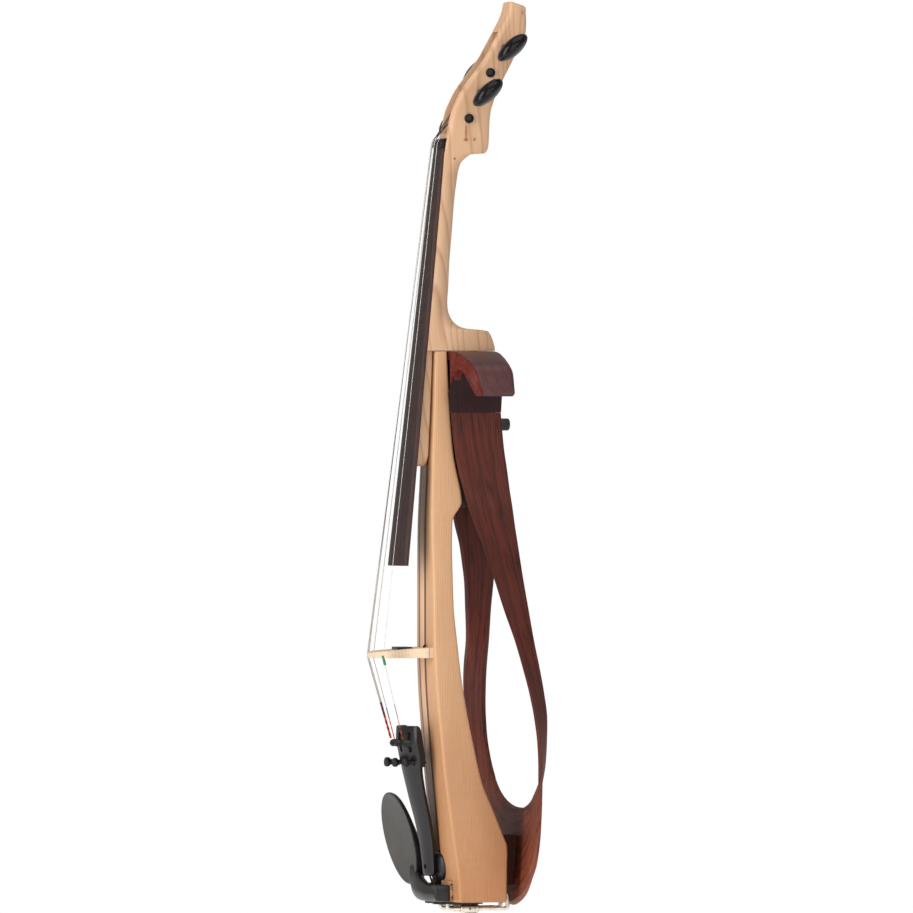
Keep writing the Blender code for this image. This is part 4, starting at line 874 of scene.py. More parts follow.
def make_shoulder():
    """Arch with two wings, skinned from pairs of points on its outer and inner outline."""
    top = [Vector((x, 0, z)) for x, z in WING_TOP]
    bar = [(Vector((x, 0, BODY_TOP_Z)), Vector((x * 1.2, 0, -133.0))) for x in levels(0, 16, 2)]
    wing = even(spline(top[1:], 8), 44)
    under = even(spline([Vector((x, 0, z)) for x, z in reversed(WING_UNDER)], 8), 42)
    inner = [Vector((x, 0, SHOULDER_END_Z)) for x in (19.2, 20.6)] + under
    pairs = bar[:-1] + [(wing[0], Vector((19.2, 0, -133.0)))] + list(zip(wing[1:], inner[1:]))
    half = []
    for i, (outer, inside) in enumerate(pairs):
        before, after = pairs[max(i - 1, 0)][0], pairs[min(i + 1, len(pairs) - 1)][0]
        out = Vector((before.z - after.z, 0, after.x - before.x)).normalized()
        out = Vector((abs(out.x), 0, abs(out.z)))
        drop = 0.0
        if inside.x > 21.9 and i > len(bar) + 1:
            drop = -3.0 * min((inside.z - SHOULDER_END_Z) / 12.6, 1)
        radius = at(WING_ROUND, outer.x)
        width = (inside - outer).normalized()
        small = min(0.6, 0.2 * (inside - outer).length)
        ring = []

        def put(p, y):
            ring.append(Vector((p.x, y, p.z)))

        front_out, front_in = at(WING_FRONT, outer.x), at(WING_FRONT, inside.x) + drop
        put(outer, front_out + 0.7)
        put(outer + width * 0.15 * small, front_out + 0.2)
        put(outer + width * small, front_out)
        for t in (0.2, 0.4, 0.6, 0.8):
            put(outer.lerp(inside, t), lerp(front_out, front_in, t))
        put(inside - width * small, front_in)
        put(inside - width * 0.15 * small, front_in + 0.2)
        put(inside, front_in + 0.7)
        backs = []
        for p in (outer, inside):
            low = unit((-153.6 - p.z) / 2.9) if p.x > 56 else 0.0
            flat = lerp(*SHOULDER_BACK, unit((BODY_TOP_Z - p.z) / 39.7))
            backs.append(flat - 2.4 * (1 - math.sqrt(1 - low ** 2)))
        back_out, back_in = backs
        for t in (0.15, 0.5, 0.8):
            put(inside, lerp(front_in, back_in, t))
        put(inside, back_in - 0.5)
        put(inside - width * 0.5 * small, back_in)
        start = outer - out * radius
        for t in (0.7, 0.35):
            put(start.lerp(inside, t), lerp(back_out, back_in, t))
        for degrees in (90, 75, 60, 45, 30, 15, 0):
            turn = math.radians(degrees)
            put(outer - out * radius * (1 - math.cos(turn)), back_out - radius * (1 - math.sin(turn)))
        for t in (0.8, 0.55, 0.3, 0.1):
            put(outer, lerp(front_out + 0.7, back_out - radius, t))
        half.append(ring)
    whole = [[Vector((-p.x, p.y, p.z)) for p in ring] for ring in reversed(half[1:])] + half
    middle, leg_end = len(half) - 1, len(bar) + 15

    # Painted shade: the inner side walls and the front face under the arch take the darker walnut copy, for
    # the shadow under the wings; the rounded back takes the greyer copy, a painted sheen.
    def look(i, k):
        if k < 10:
            return 0 if k >= 5 and len(bar) <= abs(i - middle) < leg_end else 1
        return 2 if k >= 15 else 0

    shoulder = to_object("frame_shoulder_wood", loft(whole, index=look), 50)
    for material in (WALNUT_PAINTED_SHADE, WALNUT_CUT, WALNUT_TOP_PAINTED_SHEEN):
        shoulder.data.materials.append(material)
    carve(shoulder, [cutter((-20, 8.0, SHOULDER_END_Z), (20, 10.4, -131))], "UNION", 50)
    hole = ((-6, HEEL_HOLE_RADIUS), (3, HEEL_HOLE_RADIUS))
    holes = [turned(hole, (x, HEEL_SCREW_Y, -130), (0, 0, 1), 24) for x in HEEL_SCREW_XS]
    carve(shoulder, holes, smooth=50)
    finish_piece(shoulder, [WALNUT_PAINTED_SHADE, WALNUT_CUT, WALNUT_TOP_PAINTED_SHEEN], nodes=["frame_shoulder"])


def dress(names, look, bevel=0.35):
    """Give CAD nodes their finish and softly rounded edges."""
    for name in names:
        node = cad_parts[name]
        node.data.materials.clear()
        node.data.materials.append(look)
        if bevel:
            modifier = node.modifiers.new("soft_edges", "BEVEL")
            modifier.width = bevel * MM
            modifier.segments = 2
            modifier.limit_method = "ANGLE"
            modifier.angle_limit = math.radians(40)


def make_screw(name, origin, head):
    """Countersunk screw with a cross recess."""
    profile = [(-13, 0.3), (-11.5, 1.2)]
    for z in levels(-11, -3.4, 0.95):
        profile += [(z, 1.6), (z + 0.45, 1.15)]
    profile += [(-2.6, 1.6), (-2.3, 1.6), (-0.5, head), (-0.15, head), (0.25, head * 0.6), (0.35, head * 0.2)]
    obj = to_object(name + "_turned", turned(profile, origin, (0, 1, 0), 32), 30)
    x, y, z = origin
    cross = [cutter((x - 1.9, y - 1.2, z - 0.42), (x + 1.9, y + 3, z + 0.42)),
             cutter((x - 0.42, y - 1.2, z - 1.9), (x + 0.42, y + 3, z + 1.9))]
    finish_piece(carve(obj, cross, smooth=30), STEEL, nodes=[name])


# ---------------------------------------------------------------- controls
def make_knob():
    bm = bmesh.new()
    rings = []
    profile = [(2.6, 1.5, 0), (13.2, 1.5, 0), (13.2, 3.6, 0), (13.5, 3.9, 0), (14.3, 4.0, 0),
               (14.6, 3.85, 0), (14.9, 3.95, 1), (20.3, 3.9, 1), (20.8, 3.8, 0.4), (21.2, 3.5, 0),
               (21.5, 3.0, 0), (21.5, 2.2, 0), (21.25, 1.6, 0), (21.15, 0.4, 0)]
    for y, r, knurl in profile:
        rings.append([Vector((0, y, KNOB_Z)) + Vector((math.sin(a), 0, math.cos(a)))
                      * (r - knurl * (0.14 if k % 4 in (0, 1) else 0)) for k, a in enumerate(angles(112))])
    loft(rings, bm)
    knob = to_object("volume_knob_turned", bm, 30)
    carve(knob, [cutter((-0.25, 20.9, KNOB_Z + 1.6), (0.25, 24, KNOB_Z + 4.5))], smooth=30)
    finish_piece(knob, BLACK, "volume_knob", ["volume_knob"])


# ---------------------------------------------------------------- bridge and pickup
def bridge_crest(x):
    knots = [(BRIDGE_TOP[s][0], BRIDGE_TOP[s][1] + 0.1) for s in STRINGS]
    return at(knots + [(-19.5, knots[3][1] + 1.6), (19.5, knots[0][1] + 1.6)], x)


def bridge_thickness(y):
    return lerp(3.2, 6.8, unit((y + 71) / 37) ** 0.7)


def make_bridge():
    half = spline([(23.2, body_front(23.2, BRIDGE_Z) - 0.1, 0), (23.5, -37.0, 0), (22.6, -39.6, 0),
                   (20.2, -42.2, 0), (18.2, -46.5, 0), (17.8, -50, 0), (18.4, -54, 0), (19.7, -58.6, 0),
                   (20.0, -62, 0), (19.5, bridge_crest(19.5), 0)], 5)
    crest = [Vector((x, bridge_crest(x), 0)) for x in levels(19.0, -19.0, 1.0)]
    inside = spline([(13, body_front(13, BRIDGE_Z) - 0.1, 0), (12.6, -37.4, 0), (10.6, -39.9, 0),
                     (7, -42.2, 0), (3.5, -43.2, 0), (0, -43.5, 0)], 5)
    mirror = [Vector((-p.x, p.y, 0)) for p in inside]
    outline = half + crest + [Vector((-p.x, p.y, 0)) for p in reversed(half)] + mirror + \
        list(reversed(inside[:-1]))
    flat = [Vector((p.x, p.y)) for p in outline]
    loops = []
    for distance, low, lift in ((0.45, 1, 0.0), (0.15, 1, 0.12), (0, 1, 0.4), (0, 0, 0.4), (0.15, 0, 0.12),
                                (0.45, 0, 0.0)):
        ring = inset(flat, distance)
        loops.append([(p.x, p.y, BRIDGE_Z + (lift if low else bridge_thickness(p.y) - lift)) for p in ring])
    bm = loft(loops)
    bmesh.ops.triangulate(bm, faces=bm.faces)
    bridge = to_object("bridge_wood", bm, 40)
    tools = []
    for sign in (1, -1):
        for y in (-41.2, -36.4):
            for x, low, high in ((11, -1, 0.5), (22.2, 0.2, 9)):
                tools.append(cutter((sign * x, y - 0.14, BRIDGE_Z + low),
                                    (sign * 26, y + 0.14, BRIDGE_Z + high)))
    carve(bridge, tools, smooth=40)
    finish_piece(bridge, BRIDGE_MAPLE, nodes=["bridge"])
    face = rounded(rectangle((-9, -54.0), (9, -44.0)), 1.0, 5)
    low = BRIDGE_Z + bridge_thickness(-48) - 0.6
    make_piece("bridge_pickup_element", slab(face, low, low + 1.9, "z", 0.3), TUNER_BLACK)


# ---------------------------------------------------------------- strings
def smooth_path(points):
    """Open path with its inner corners rounded."""
    radius, steps = 1.6, 6
    pts = [Vector(p) for p in points]
    out = [pts[0]]
    for a, p, b in zip(pts, pts[1:], pts[2:]):
        ra, rb = min(radius, 0.4 * (a - p).length), min(radius, 0.4 * (b - p).length)
        start, end = p + (a - p).normalized() * ra, p + (b - p).normalized() * rb
        for k in range(steps + 1):
            t = k / steps
            out.append(start * (1 - t) ** 2 + 2 * t * (1 - t) * p + end * t * t)
    return out + [pts[-1]]


def nut_top(x):
    return board_top(x, BOARD_TOP_Z) - 0.7


def peg_tangent(name, start):
    cy, cz = PEG_AXIS[name]
    radius = WINDING_RADIUS + GAP + STRING_RADIUS[name]
    dy, dz = start[0] - cy, start[1] - cz
    angle = math.atan2(dz, dy) - math.acos(radius / math.hypot(dy, dz))
    return cy + radius * math.cos(angle), cz + radius * math.sin(angle)


def make_string(name, looks):
    radius, seen = STRING_RADIUS[name], SEEN_RADIUS[name]
    lift = radius + GAP
    nut = Vector((NUT_X[name], nut_top(NUT_X[name]) - lift, NUT_Z))
    over = Vector((NUT_X[name], nut_top(NUT_X[name]) - lift + 0.9, 8.4))
    peg = Vector((WINDING_X[name], *peg_tangent(name, (over.y, over.z))))
    bridge = Vector((*BRIDGE_TOP[name], BRIDGE_Z + 1))
    tail = Vector((*STRING_TAIL[name], STRING_TAIL_Z))
    silk_end = {"e": -353.6, "a": -355.9, "d": -352.6, "g": -352.6}[name]
    share = (silk_end - tail.z) / (bridge.z - tail.z)
    silk_top, red_top = tail.lerp(bridge, share), tail.lerp(bridge, share * 0.64)
    path = smooth_path([tail, red_top, silk_top, bridge, nut, over, peg])
    fine = []
    for a, b in zip(path, path[1:]):
        count = max(1, int((b - a).length / 12))
        fine += [a.lerp(b, k / count) for k in range(count)]
    fine.append(path[-1])

    def look(i, k):
        z = (fine[i].z + fine[min(i + 1, len(fine) - 1)].z) / 2
        if z < red_top.z:
            return 1
        if z < silk_top.z:
            return 2
        return 3 if z > 9 and name != "e" else 0

    radii = [seen + (0.06 if p.z < silk_top.z + 0.01 else 0) for p in fine]
    make_piece("string_%s_line" % name, sweep(fine, radii, 12, index=look), looks,
               nodes=["string_" + name], smooth=60)


def make_strings():
    wound = [wound_string("string_wound_" + s, srgb(*c), p)
             for s, c, p in (("a", (196, 194, 190), 0.0003), ("d", (186, 184, 182), 0.00035),
                             ("g", (190, 186, 178), 0.0004))]
    tail = silk("silk_orange", srgb(214, 84, 46), srgb(96, 30, 40), 0.0042)
    start = silk("silk_dark_red", srgb(124, 36, 60), srgb(60, 26, 44), 0.003)
    ends = {"a": silk("silk_teal", srgb(34, 52, 58), srgb(24, 34, 42)),
            "d": silk("silk_brown", srgb(92, 52, 44), srgb(52, 34, 34)),
            "g": silk("silk_violet", srgb(66, 44, 64), srgb(40, 30, 42))}
    make_string("e", [STRING_STEEL, tail, start, STRING_STEEL])
    for look, name in zip(wound, "adg"):
        make_string(name, [look, tail, start, ends[name]])
    bridge = Vector((*BRIDGE_TOP["e"], BRIDGE_Z + 1))
    along = (Vector((*STRING_TAIL["e"], STRING_TAIL_Z)) - bridge).normalized()
    ring = ((-0.7, 0.26), (-0.7, 0.7), (-0.2, 0.8), (2, 0.82), (5.2, 0.84), (5.6, 0.76), (5.6, 0.26))
    make_piece("e_string_sleeve_tube", turned(ring, bridge, along, 24), GREEN,
               nodes=["e_string_sleeve"])


# ---------------------------------------------------------------- pegs
def make_peg(name):
    side = PEG_SIDE[name]
    y, z = PEG_AXIS[name]
    shaft = ((-15.0, 2.1), (-14.9, 2.5), (-14.6, 2.8), (-14.0, 2.9), (14.0, 2.9), (14.05, 3.0), (14.3, 3.2),
             (15.0, 3.25), (15.8, 3.2), (16.4, 2.9), (17.2, 3.0), (17.8, 2.9), (19.0, 2.7), (21.0, 2.8))
    head = ((22.6, 4.6, 3.0), (23.8, 7.2, 3.4), (25.2, 9.3, 3.8), (27.0, 10.9, 4.3), (29.2, 11.8, 4.8),
            (31.4, 12.1, 5.2), (33.6, 12.0, 5.5), (35.6, 11.5, 5.6), (37.3, 10.6, 5.5), (38.8, 9.3, 5.0),
            (40.0, 7.6, 4.2), (40.9, 5.6, 3.1), (41.4, 3.6, 2.0), (41.7, 1.6, 0.9))
    rings = []
    for x, r in shaft:
        rings.append([(x, r * math.cos(a), r * math.sin(a)) for a in angles(48)])
    tilt = math.radians(PEG_TILT[name])
    c, t = math.cos(tilt), math.sin(tilt)
    for x, long_half, thick in head:
        ring = []
        lean = unit((x - 33) / 8)
        for a in angles(48):
            u, v = long_half * math.cos(a), PEG_THICK[side] * thick * math.sin(a)
            v *= 1 if v > 0 else 1 - 0.5 * lean
            ring.append((x, u * c - v * t, u * t + v * c))
        rings.append(ring)
    rings = [[(side * px, y + py, z + pz) for px, py, pz in ring] for ring in rings]
    bm = loft(rings)
    turned(((41.2, 1.0), (41.9, 1.3), (42.3, 1.1), (42.5, 0.5)), (0, y, z), (side, 0, 0), 24, bm)
    make_piece("peg_%s_turned" % name, bm, PEG_BLACK, "peg_" + name, ["peg_" + name], 40)
    turns, coil = 5, []
    for k in range(24 * turns + 1):
        a = 2 * math.pi * k / 24
        x = WINDING_X[name] - 2.1 + 4.2 * k / (24 * turns)
        coil.append((x, y + 3.75 * math.cos(a), z + 3.75 * math.sin(a)))
    bm = sweep(coil, 0.42, 10)
    ring = ((-2.3, 2.95), (-2.3, 3.5), (2.3, 3.5), (2.3, 2.95))
    turned(ring, (WINDING_X[name], y, z), (1, 0, 0), 32, bm, closed=True)
    make_piece("peg_winding_%s_coil" % name, bm, [STEEL], "peg_" + name,
               ["peg_winding_" + name], 60)


# ---------------------------------------------------------------- tailpiece and fine tuners
def tailpiece_top(x, z):
    return at(TAILPIECE_CROWN, z) + at(TAILPIECE_SAG, z) * (x / at(TAILPIECE_HALF, z)) ** 2


def make_tailpiece():
    sections = []
    stations = [(-367.5, 0.8, 1), (-367.6, 0.4, 1), (-367.9, 0.12, 1), (-368.4, 0.0, 1)]
    stations += [(z, 0.0, 1) for z in levels(-370, -460, 2.0)]
    stations += [(-461.6, 0.0, 0.985), (-462.8, 0.1, 0.94), (-463.6, 0.35, 0.88), (-464, 0.9, 0.82)]
    for z, shrink, narrow in stations:
        half = at(TAILPIECE_HALF, z) * narrow
        wall = TAILPIECE_WALL - 2 * shrink
        outer, inner = [], []
        for t in levels(1, -1, 0.05):
            edge = max(abs(t) - 0.94, 0) / 0.06
            x = t * half
            outer.append((x, tailpiece_top(x, z) + shrink + 0.55 * edge ** 2))
            skirt = 2.6 * math.sqrt(max(1 - ((z + 380.5) / 12.5) ** 2, 0)) * max(abs(t) - 0.75, 0) / 0.25
            under = tailpiece_top(x, z) + shrink + wall - 0.4 * edge ** 2 + skirt
            inner.append((x * TAILPIECE_INNER, under))
        sections.append([(x, y, z) for x, y in outer + list(reversed(inner))])
    shell = to_object("tailpiece_shell", loft(sections), 45)
    tools = []
    for x in TUNER_X.values():
        slot = rounded(rectangle((x - 1.7, -384.4), (x + 1.7, -371.6)), 1.6, 5)
        tools.append(slab(slot, -60, -30, "y", 0.01))
        tools.append(turned(((-20, 1.8), (20, 1.8)), (x, -46, TUNER_SCREW_Z), (0, 1, 0), 32))
    tools += [turned(((-12, 1.6), (12, 1.6)), (x, -33, -458), (0, 1, 0), 24) for x in (-4, 4)]
    finish_piece(carve(shell, tools, smooth=45), BLACK, nodes=["tailpiece"])


def lever_floor(name):
    outer = (abs(TUNER_X[name]) + 1.3) / TAILPIECE_INNER
    return tailpiece_top(outer, TUNER_SCREW_Z) + TAILPIECE_WALL - 0.6


def make_tuner(name):
    x = TUNER_X[name]
    floor = lever_floor(name)
    top = STRING_TAIL[name][1]
    hook = [(u, v, 0) for u, v in arc((top + 2.0, -378.7), 2.3, 250, 80, 14)]
    rest = spline([(floor - 0.6, -376.9, 0), (floor + 1.2, -379.0, 0), (floor + 2.3, -384, 0),
                   (floor + 2.9, -390, 0), (floor + 3.0, -394, 0)], 5)
    back = spline([(floor + 1.3, -394, 0), (floor + 1.2, -390, 0), (floor + 0.8, -385.4, 0),
                   (floor - 1.2, -380.8, 0)], 5)
    outline = [(p[0], p[1]) for p in hook + rest + back]
    lever = to_object("tuner_lever_%s_hook" % name, slab(outline, x - 1.3, x + 1.3, "x", 0.35), 40)
    fork = slab(rectangle((top - 1.6, -384), (top + 1.9, -373)), x - 0.42, x + 0.42, "x", 0.02)
    carve(lever, [fork], smooth=40)
    finish_piece(lever, TUNER_BLACK, "tuner_lever_" + name, ["tuner_lever_" + name])
    tip, inside = TUNER_TIP_Y[name], floor + 3.6
    origin = Vector((x, 0, TUNER_SCREW_Z))
    rings = []
    profile = ((tip + 0.35, 0.5, 0), (tip + 0.3, 1.5, 0), (tip, 1.9, 0), (tip + 0.1, 2.4, 0.3),
               (tip + 0.5, 2.9, 0.8), (tip + 1.0, 3.15, 1), (tip + 2.4, 3.15, 1), (tip + 2.9, 2.9, 0.8),
               (tip + 3.3, 2.3, 0.4), (tip + 3.5, 1.9, 0), (tip + 4.6, 1.8, 0), (tip + 4.9, 1.3, 0))
    for y, r, lobes in profile:
        rings.append([origin + Vector((0, y, 0)) + Vector((math.cos(a), 0, math.sin(a)))
                      * (r - lobes * 0.3 * (1 - math.cos(6 * a)) / 2) for a in angles(72)])
    y = tip + 5.2
    while y < inside - 0.5:
        for lift, r in ((0, 1.3), (0.2, 1.12), (0.4, 1.3)):
            rings.append([origin + Vector((r * math.cos(a), y + lift, r * math.sin(a)))
                          for a in angles(72)])
        y += 0.6
    rings.append([origin + Vector((0.9 * math.cos(a), inside, 0.9 * math.sin(a))) for a in angles(72)])
    make_piece("tuner_screw_%s_turned" % name, loft(rings), TUNER_BLACK,
               "tuner_screw_" + name, ["tuner_screw_" + name], 45)


def make_tail_fittings():
    sections = []
    profile = spline([(-448.6, 0.4, 6), (-449.6, 1.6, 11), (-451.6, 2.9, 14.5), (-456, 3.5, 16.6),
                      (-461, 3.3, 16.8), (-465, 2.4, 14.5), (-467.2, 1.5, 10.5), (-470, 1.3, 8.2),
                      (-479.6, 1.2, 8.0)], 5)
    for z, height, half in profile:
        low = [(x, body_front(x, z) - CONTACT, z) for x in levels(-half, half, half / 10)]
        high = []
        for x in levels(half, -half, half / 10):
            dome = (1 - (x / half) ** 4) ** 0.5 if abs(x) < half else 0.0
            high.append((x, body_front(x, z) - 0.08 - max(height * dome, 0.15), z))
        sections.append(low + high)
    make_piece("saddle_block", loft(sections), BLACK, nodes=["saddle"], smooth=50)
    button = [(-480.7, 3.0), (-480.9, 3.2), (-483.3, 3.2), (-483.8, 3.5), (-484.3, 4.3), (-484.8, 4.7),
              (-486.8, 4.75), (-487.6, 4.5), (-488.2, 3.9), (-488.5, 3.0), (-488.5, 1.4), (-488.1, 1.0)]
    make_piece("end_button_turned", turned(button, (0, BUTTON_Y, 0), (0, 0, 1), 48), BLACK,
               nodes=["end_button"])
    path = ((-30.45, -459.6), (-30.15, -463), (-28.6, -468), (-27.6, -474), (-27.0, -480), (-25.4, -481.8),
            (-23, -482.2), (-14, -482.2))
    loop = [(4.0, y, z) for y, z in path]
    for angle in range(-60, 241, 20):
        turn = math.radians(angle)
        loop.append((4.5 * math.cos(turn), BUTTON_Y + 4.5 * math.sin(turn), -482.2))
    loop += [(-x, y, z) for x, y, z in reversed(loop[:len(path)])]
    make_piece("tail_gut_cord", sweep(spline(loop, 3), 0.6, 14), BLACK, nodes=["tail_gut"],
               smooth=60)


# ---------------------------------------------------------------- chin rest and clamp
def cup_y(x, z):
    dx, dz = x - CUP_CENTRE[0], z - CUP_CENTRE[1]
    rho = (dx / CUP_HALF[0]) ** 2 + (dz / CUP_HALF[1]) ** 2
    return CUP_Y + CUP_TILT[0] * dx + CUP_TILT[1] * dz - CUP_DEPTH * min(rho, 1.2)


def make_chinrest():
    rings, around = [], angles(80)

    def ring(share, lift):
        pts = []
        for a in around:
            x = CUP_CENTRE[0] + CUP_HALF[0] * share * math.cos(a)
            z = CUP_CENTRE[1] + CUP_HALF[1] * share * math.sin(a)
            low = unit((CUP_CENTRE[1] + 12 - z) / 34) ** 1.5 if lift > 1.9 else 0.0
            pts.append((x, cup_y(x, z) + lift + 6.5 * low * (1 - 0.55 * share ** 3), z))
        rings.append(pts)

    for share in (0.02, 0.1, 0.2, 0.3, 0.4, 0.5, 0.6, 0.7, 0.78, 0.85, 0.9, 0.93):
        ring(share, 0.0)
    for k in range(9):
        turn = math.pi * k / 8
        ring(0.955 + 0.045 * math.sin(turn), CUP_WALL / 2 * (1 - math.cos(turn)))
    for share in (0.92, 0.85, 0.75, 0.6, 0.45, 0.3, 0.15, 0.02):
        ring(share, CUP_WALL)
    # The cup's top face takes the grey copy of the black: a painted sheen.
    cup = to_object("chinrest_cup", loft(rings, index=lambda i, k: 1 if i < 15 else 0), 50)
    path = spline([(-44, -34.2, -459, 10, 2.0), (-36, -32.6, -465, 10.6, 3.0), (-24, -33.4, -469.6, 8.8, 4.4),
                   (-10, -34.2, -472.6, 7.4, 4.7), (6, -33.2, -474.6, 5.7, 4.4), (18, -30.0, -475, 5.2, 5.0),
                   (23, -29.2, -475, 5.3, 4.6)], 6)
    arm = []
    for x, y, z, tall, deep in path:
        arm.append([(x, y + deep * math.sin(a), z + tall * math.cos(a)) for a in angles(40)])
    x, y, z, tall, deep = path[-1]
    for k in range(1, 7):
        turn = math.radians(15 * k)
        f = max(math.cos(turn), 0.15)
        arm.append([(x + 3.2 * math.sin(turn), y + deep * f * math.sin(a), z + tall * f * math.cos(a))
                    for a in angles(40)])
    tools = [loft(arm)]
    for sign in (1, -1):
        sections = []
        for x, shrink in ((12.2, 0.8), (12.5, 0.25), (13.2, 0.0), (16, 0.0), (19, 0.0), (22, 0.0),
                          (24.8, 0.0), (25.6, 0.2), (26.1, 0.6), (26.4, 1.4)):
            low = body_front(x, -475) - 1.8
            corners = [(low - shrink, -469.4 - shrink), (low - shrink, -480.3 + shrink),
                       (-33.4 + shrink, -479.6 + shrink), (-33.4 + shrink, -468.8 - shrink)]
            sections.append([(sign * x, p.x, p.y) for p in rounded(corners, (0.8, 0.8, 2.6, 2.6), 5)])
        tools.append(loft(sections))
        lip = sorted((sign * 6.5, sign * 14.0))
        tools.append(block((lip[0], -31, LIP_Z[0]), (lip[1], 1.0, LIP_Z[1]), 0.3))
        tools.append(block((lip[0], -31, LIP_Z[0] + 0.05), (lip[1], -26.5, -478), 0.6))
    for look in (CHIN_BLACK, CHIN_FACE_PAINTED_SHEEN):
        cup.data.materials.append(look)
    carve(cup, tools, "UNION", 50)
    finish_piece(cup, [CHIN_BLACK, CHIN_FACE_PAINTED_SHEEN], nodes=["chinrest"])
    for sign, label in ((1, "treble"), (-1, "bass")):
        cork = []
        for x, shrink in ((11.4, 0.5), (11.6, 0.15), (12, 0), (15, 0), (18, 0), (21, 0), (25.0, 0),
                          (26.2, 0.15), (26.6, 0.5)):
            corners = [(body_front(x, z) - lift, z) for z, lift in
                       ((-466.6 - shrink, 0.06), (-480.2 + shrink, 0.06), (-480.2 + shrink, 1.9 - shrink),
                        (-466.6 - shrink, 1.9 - shrink))]
            cork.append([(sign * x, p.x, p.y) for p in rounded(corners, 0.3, 3)])
        make_piece("chinrest_cork_%s_pad" % label, loft(cork), CORK,
                   nodes=["chinrest_cork_" + label])


def make_clamp():
    for sign, label in ((1, "treble"), (-1, "bass")):
        x = sign * CLAMP_X
        path = [(x, -21.3, LIP_Z[0] - 0.05)]
        path += [(x, y, z) for y, z in arc((-19.7, CLAMP_Z + 1.6), 1.6, 182, 266, 10)]
        path += [(x, y, CLAMP_Z) for y in (-19.4, -17, -14, -11, -8)]
        make_piece("clamp_bracket_%s_rod" % label, sweep(path, ROD_RADIUS, 28), CHROME,
                   nodes=["clamp_bracket_" + label], smooth=50)
        outer = [(-13.0, 1.75), (-13.0, 2.2), (-12.8, 2.45), (-12.3, 2.62), (-11.2, 2.65), (-11.0, 2.5),
                 (-10.6, 2.5), (-10.4, 2.65), (-3.6, 2.65), (-3.4, 2.5), (-3.0, 2.5), (-2.8, 2.65),
                 (-1.7, 2.62), (-1.2, 2.45), (-1.0, 2.2), (-1.0, 1.75)]
        barrel = to_object("clamp_barrel_%s_turned" % label,
                           turned(outer, (x, 0, CLAMP_Z), (0, 1, 0), 48, closed=True), 40)
        key = [turned(((-5, 0.85), (5, 0.85)), (x, -7, CLAMP_Z), (1, 0, 0), 28),
               turned(((-5, 0.85), (5, 0.85)), (x, -7, CLAMP_Z), (0, 0, 1), 28)]
        finish_piece(carve(barrel, key, smooth=40), CHROME, "clamp_barrel_" + label,
                     ["clamp_barrel_" + label])
    face = rounded(rectangle((-15, -481.5), (15, -471)), 2.5, 6)
    foot = to_object("clamp_foot_plate", slab(face, *FOOT_YS, "y", 0.4), 40)
    studs = []
    for sign in (1, -1):
        x = sign * CLAMP_X
        path = [(x, y, CLAMP_Z) for y in (-6, 0, 6, 12, 16.2)]
        path += [(x, y, z) for y, z in arc((16.5, CLAMP_Z + 1.7), 1.7, -80, -5, 9)]
        path += [(x, 18.2, CLAMP_Z + 2.6), (x, 18.2, -478.6), (x, 18.1, -477), (x, 17.6, -475.7),
                 (x, 16.7, -475.2), (x, 15.6, -475.0)]
        studs.append(sweep(path, ROD_RADIUS, 28, grain=False))
    finish_piece(carve(foot, studs, "UNION", 45), CHROME, "clamp_foot", ["clamp_foot"])
    make_piece("clamp_foot_cork_pad", slab(face, *FOOT_CORK_YS, "y", 0.25), CORK, "clamp_foot",
               ["clamp_foot_cork"])


# ---------------------------------------------------------------- stage
# Metres here. The camera stands far away, so that the view is close to a parallel one.
AZIMUTH = math.radians(77)
RIGHT = Vector((math.cos(AZIMUTH), math.sin(AZIMUTH), 0))
AWAY = Vector((-math.sin(AZIMUTH), math.cos(AZIMUTH), 0))
UP = Vector((0, 0, 1))
CAMERA_AWAY = 8.0
SEEN_WIDTH = 0.587
SENSOR = 36
VIEW_RIGHT, VIEW_UP = -0.01286, -0.1948
LIGHT_TARGET = Vector((0, 0, -0.22))
WORLD_LIGHT = 0.38
FLOOR_Z = -0.75
FLOOR_RADIUS = 4


def make_stage():
    mesh = bpy.data.meshes.new("floor")
    bm = bmesh.new()
    bmesh.ops.create_circle(bm, cap_ends=True, segments=96, radius=FLOOR_RADIUS)
    bm.to_mesh(mesh)
    bm.free()
    floor = bpy.data.objects.new("floor", mesh)
    floor.location = (0, 0, FLOOR_Z)
    bpy.context.scene.collection.objects.link(floor)
    look = Shader("floor", 0.9, specular=0.1)
    look.main.inputs["Base Color"].default_value = (0.9, 0.9, 0.9, 1)
    look.main.inputs["Emission Color"].default_value = (1, 1, 1, 1)
    look.main.inputs["Emission Strength"].default_value = 0.35
    floor.data.materials.append(look.material)
    world = bpy.data.worlds.new("studio")
    bpy.context.scene.world = world
    world.use_nodes = True
    tree = world.node_tree
    plain, seen = tree.nodes["Background"], tree.nodes.new("ShaderNodeBackground")
    for background, tint, strength in ((plain, (1.0, 0.985, 0.965, 1), WORLD_LIGHT),
                                       (seen, (1, 1, 1, 1), 1.0)):
        background.inputs[0].default_value, background.inputs[1].default_value = tint, strength
    path, mix = tree.nodes.new("ShaderNodeLightPath"), tree.nodes.new("ShaderNodeMixShader")
    tree.links.new(path.outputs["Is Camera Ray"], mix.inputs[0])
    tree.links.new(plain.outputs[0], mix.inputs[1])
    tree.links.new(seen.outputs[0], mix.inputs[2])
    tree.links.new(mix.outputs[0], tree.nodes["World Output"].inputs[0])


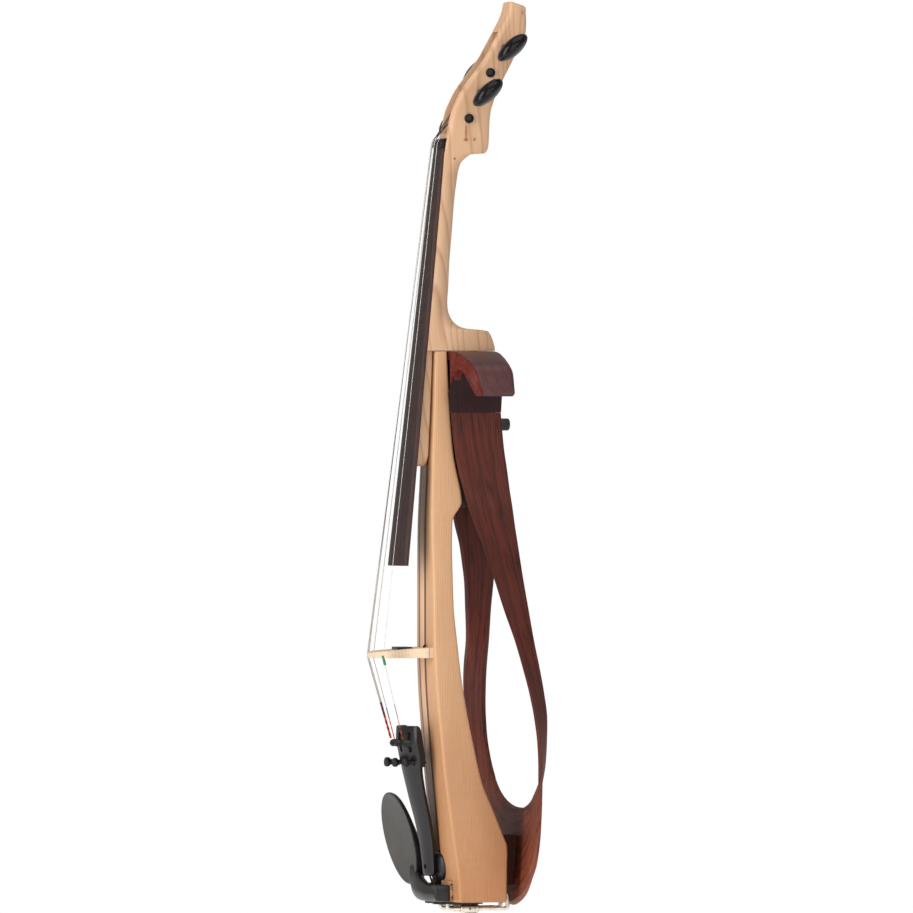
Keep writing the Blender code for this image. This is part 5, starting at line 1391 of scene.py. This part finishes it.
def add_light(name, place, power, size, colour):
    data = bpy.data.lights.new(name, "AREA")
    data.shape, data.size, data.size_y = "RECTANGLE", size[0], size[1]
    data.energy, data.color = power, colour
    lamp = bpy.data.objects.new(name, data)
    lamp.location = place
    lamp.rotation_euler = (LIGHT_TARGET - place).to_track_quat("-Z", "Y").to_euler()
    bpy.context.scene.collection.objects.link(lamp)


def make_lights():
    """Large key from the string side, weak fill by the camera and a soft top light."""
    add_light("key", RIGHT * -1.5 - AWAY * 1.1 + UP * 0.35, 27, (1.0, 1.8), (1.0, 0.98, 0.95))
    add_light("fill", RIGHT * 0.5 - AWAY * 2.2 + UP * 0.5, 14, (1.6, 1.6), (1.0, 0.985, 0.97))
    add_light("top", RIGHT * 0.1 - AWAY * 0.4 + UP * 1.6, 8, (1.4, 1.4), (1, 1, 1))


def make_camera():
    data = bpy.data.cameras.new("camera")
    data.sensor_width, data.lens = SENSOR, SENSOR * CAMERA_AWAY / SEEN_WIDTH
    camera = bpy.data.objects.new("camera", data)
    camera.location = RIGHT * VIEW_RIGHT + UP * VIEW_UP - AWAY * CAMERA_AWAY
    camera.rotation_euler = (math.pi / 2, 0, AZIMUTH)
    bpy.context.scene.collection.objects.link(camera)
    bpy.context.scene.camera = camera
    bpy.context.scene.view_settings.view_transform = "Standard"
    bpy.context.scene.view_settings.look = "None"


make_neck()
make_fingerboard()
make_nut()
make_body()
make_shoulder()
make_frame_ribbons()
# the cavity plates take the darker walnut copy: painted shade
dress(["cavity_back_plate", "cavity_cover"], WALNUT_PAINTED_SHADE)
# the tail block takes darker walnut: painted shade
dress(["tail_block"], WALNUT_BLOCK_PAINTED_SHADE)
dress(["heel_screw_treble", "heel_screw_bass", "volume_pot"], STEEL, 0.15)
dress(["output_jack", "bridge_pickup_treble", "bridge_pickup_bass", "pickup_wire"], BLACK, 0.15)
for label, z in zip(("tail_screw_upper", "tail_screw_lower"), TAIL_SCREW_ZS):
    make_screw(label, (0, tail_outer(z) + 2.0, z), 3.6)
make_knob()
make_bridge()
make_strings()
for string in STRINGS:
    make_peg(string)
    make_tuner(string)
make_tailpiece()
make_tail_fittings()
make_chinrest()
make_clamp()
make_stage()
make_lights()
make_camera()
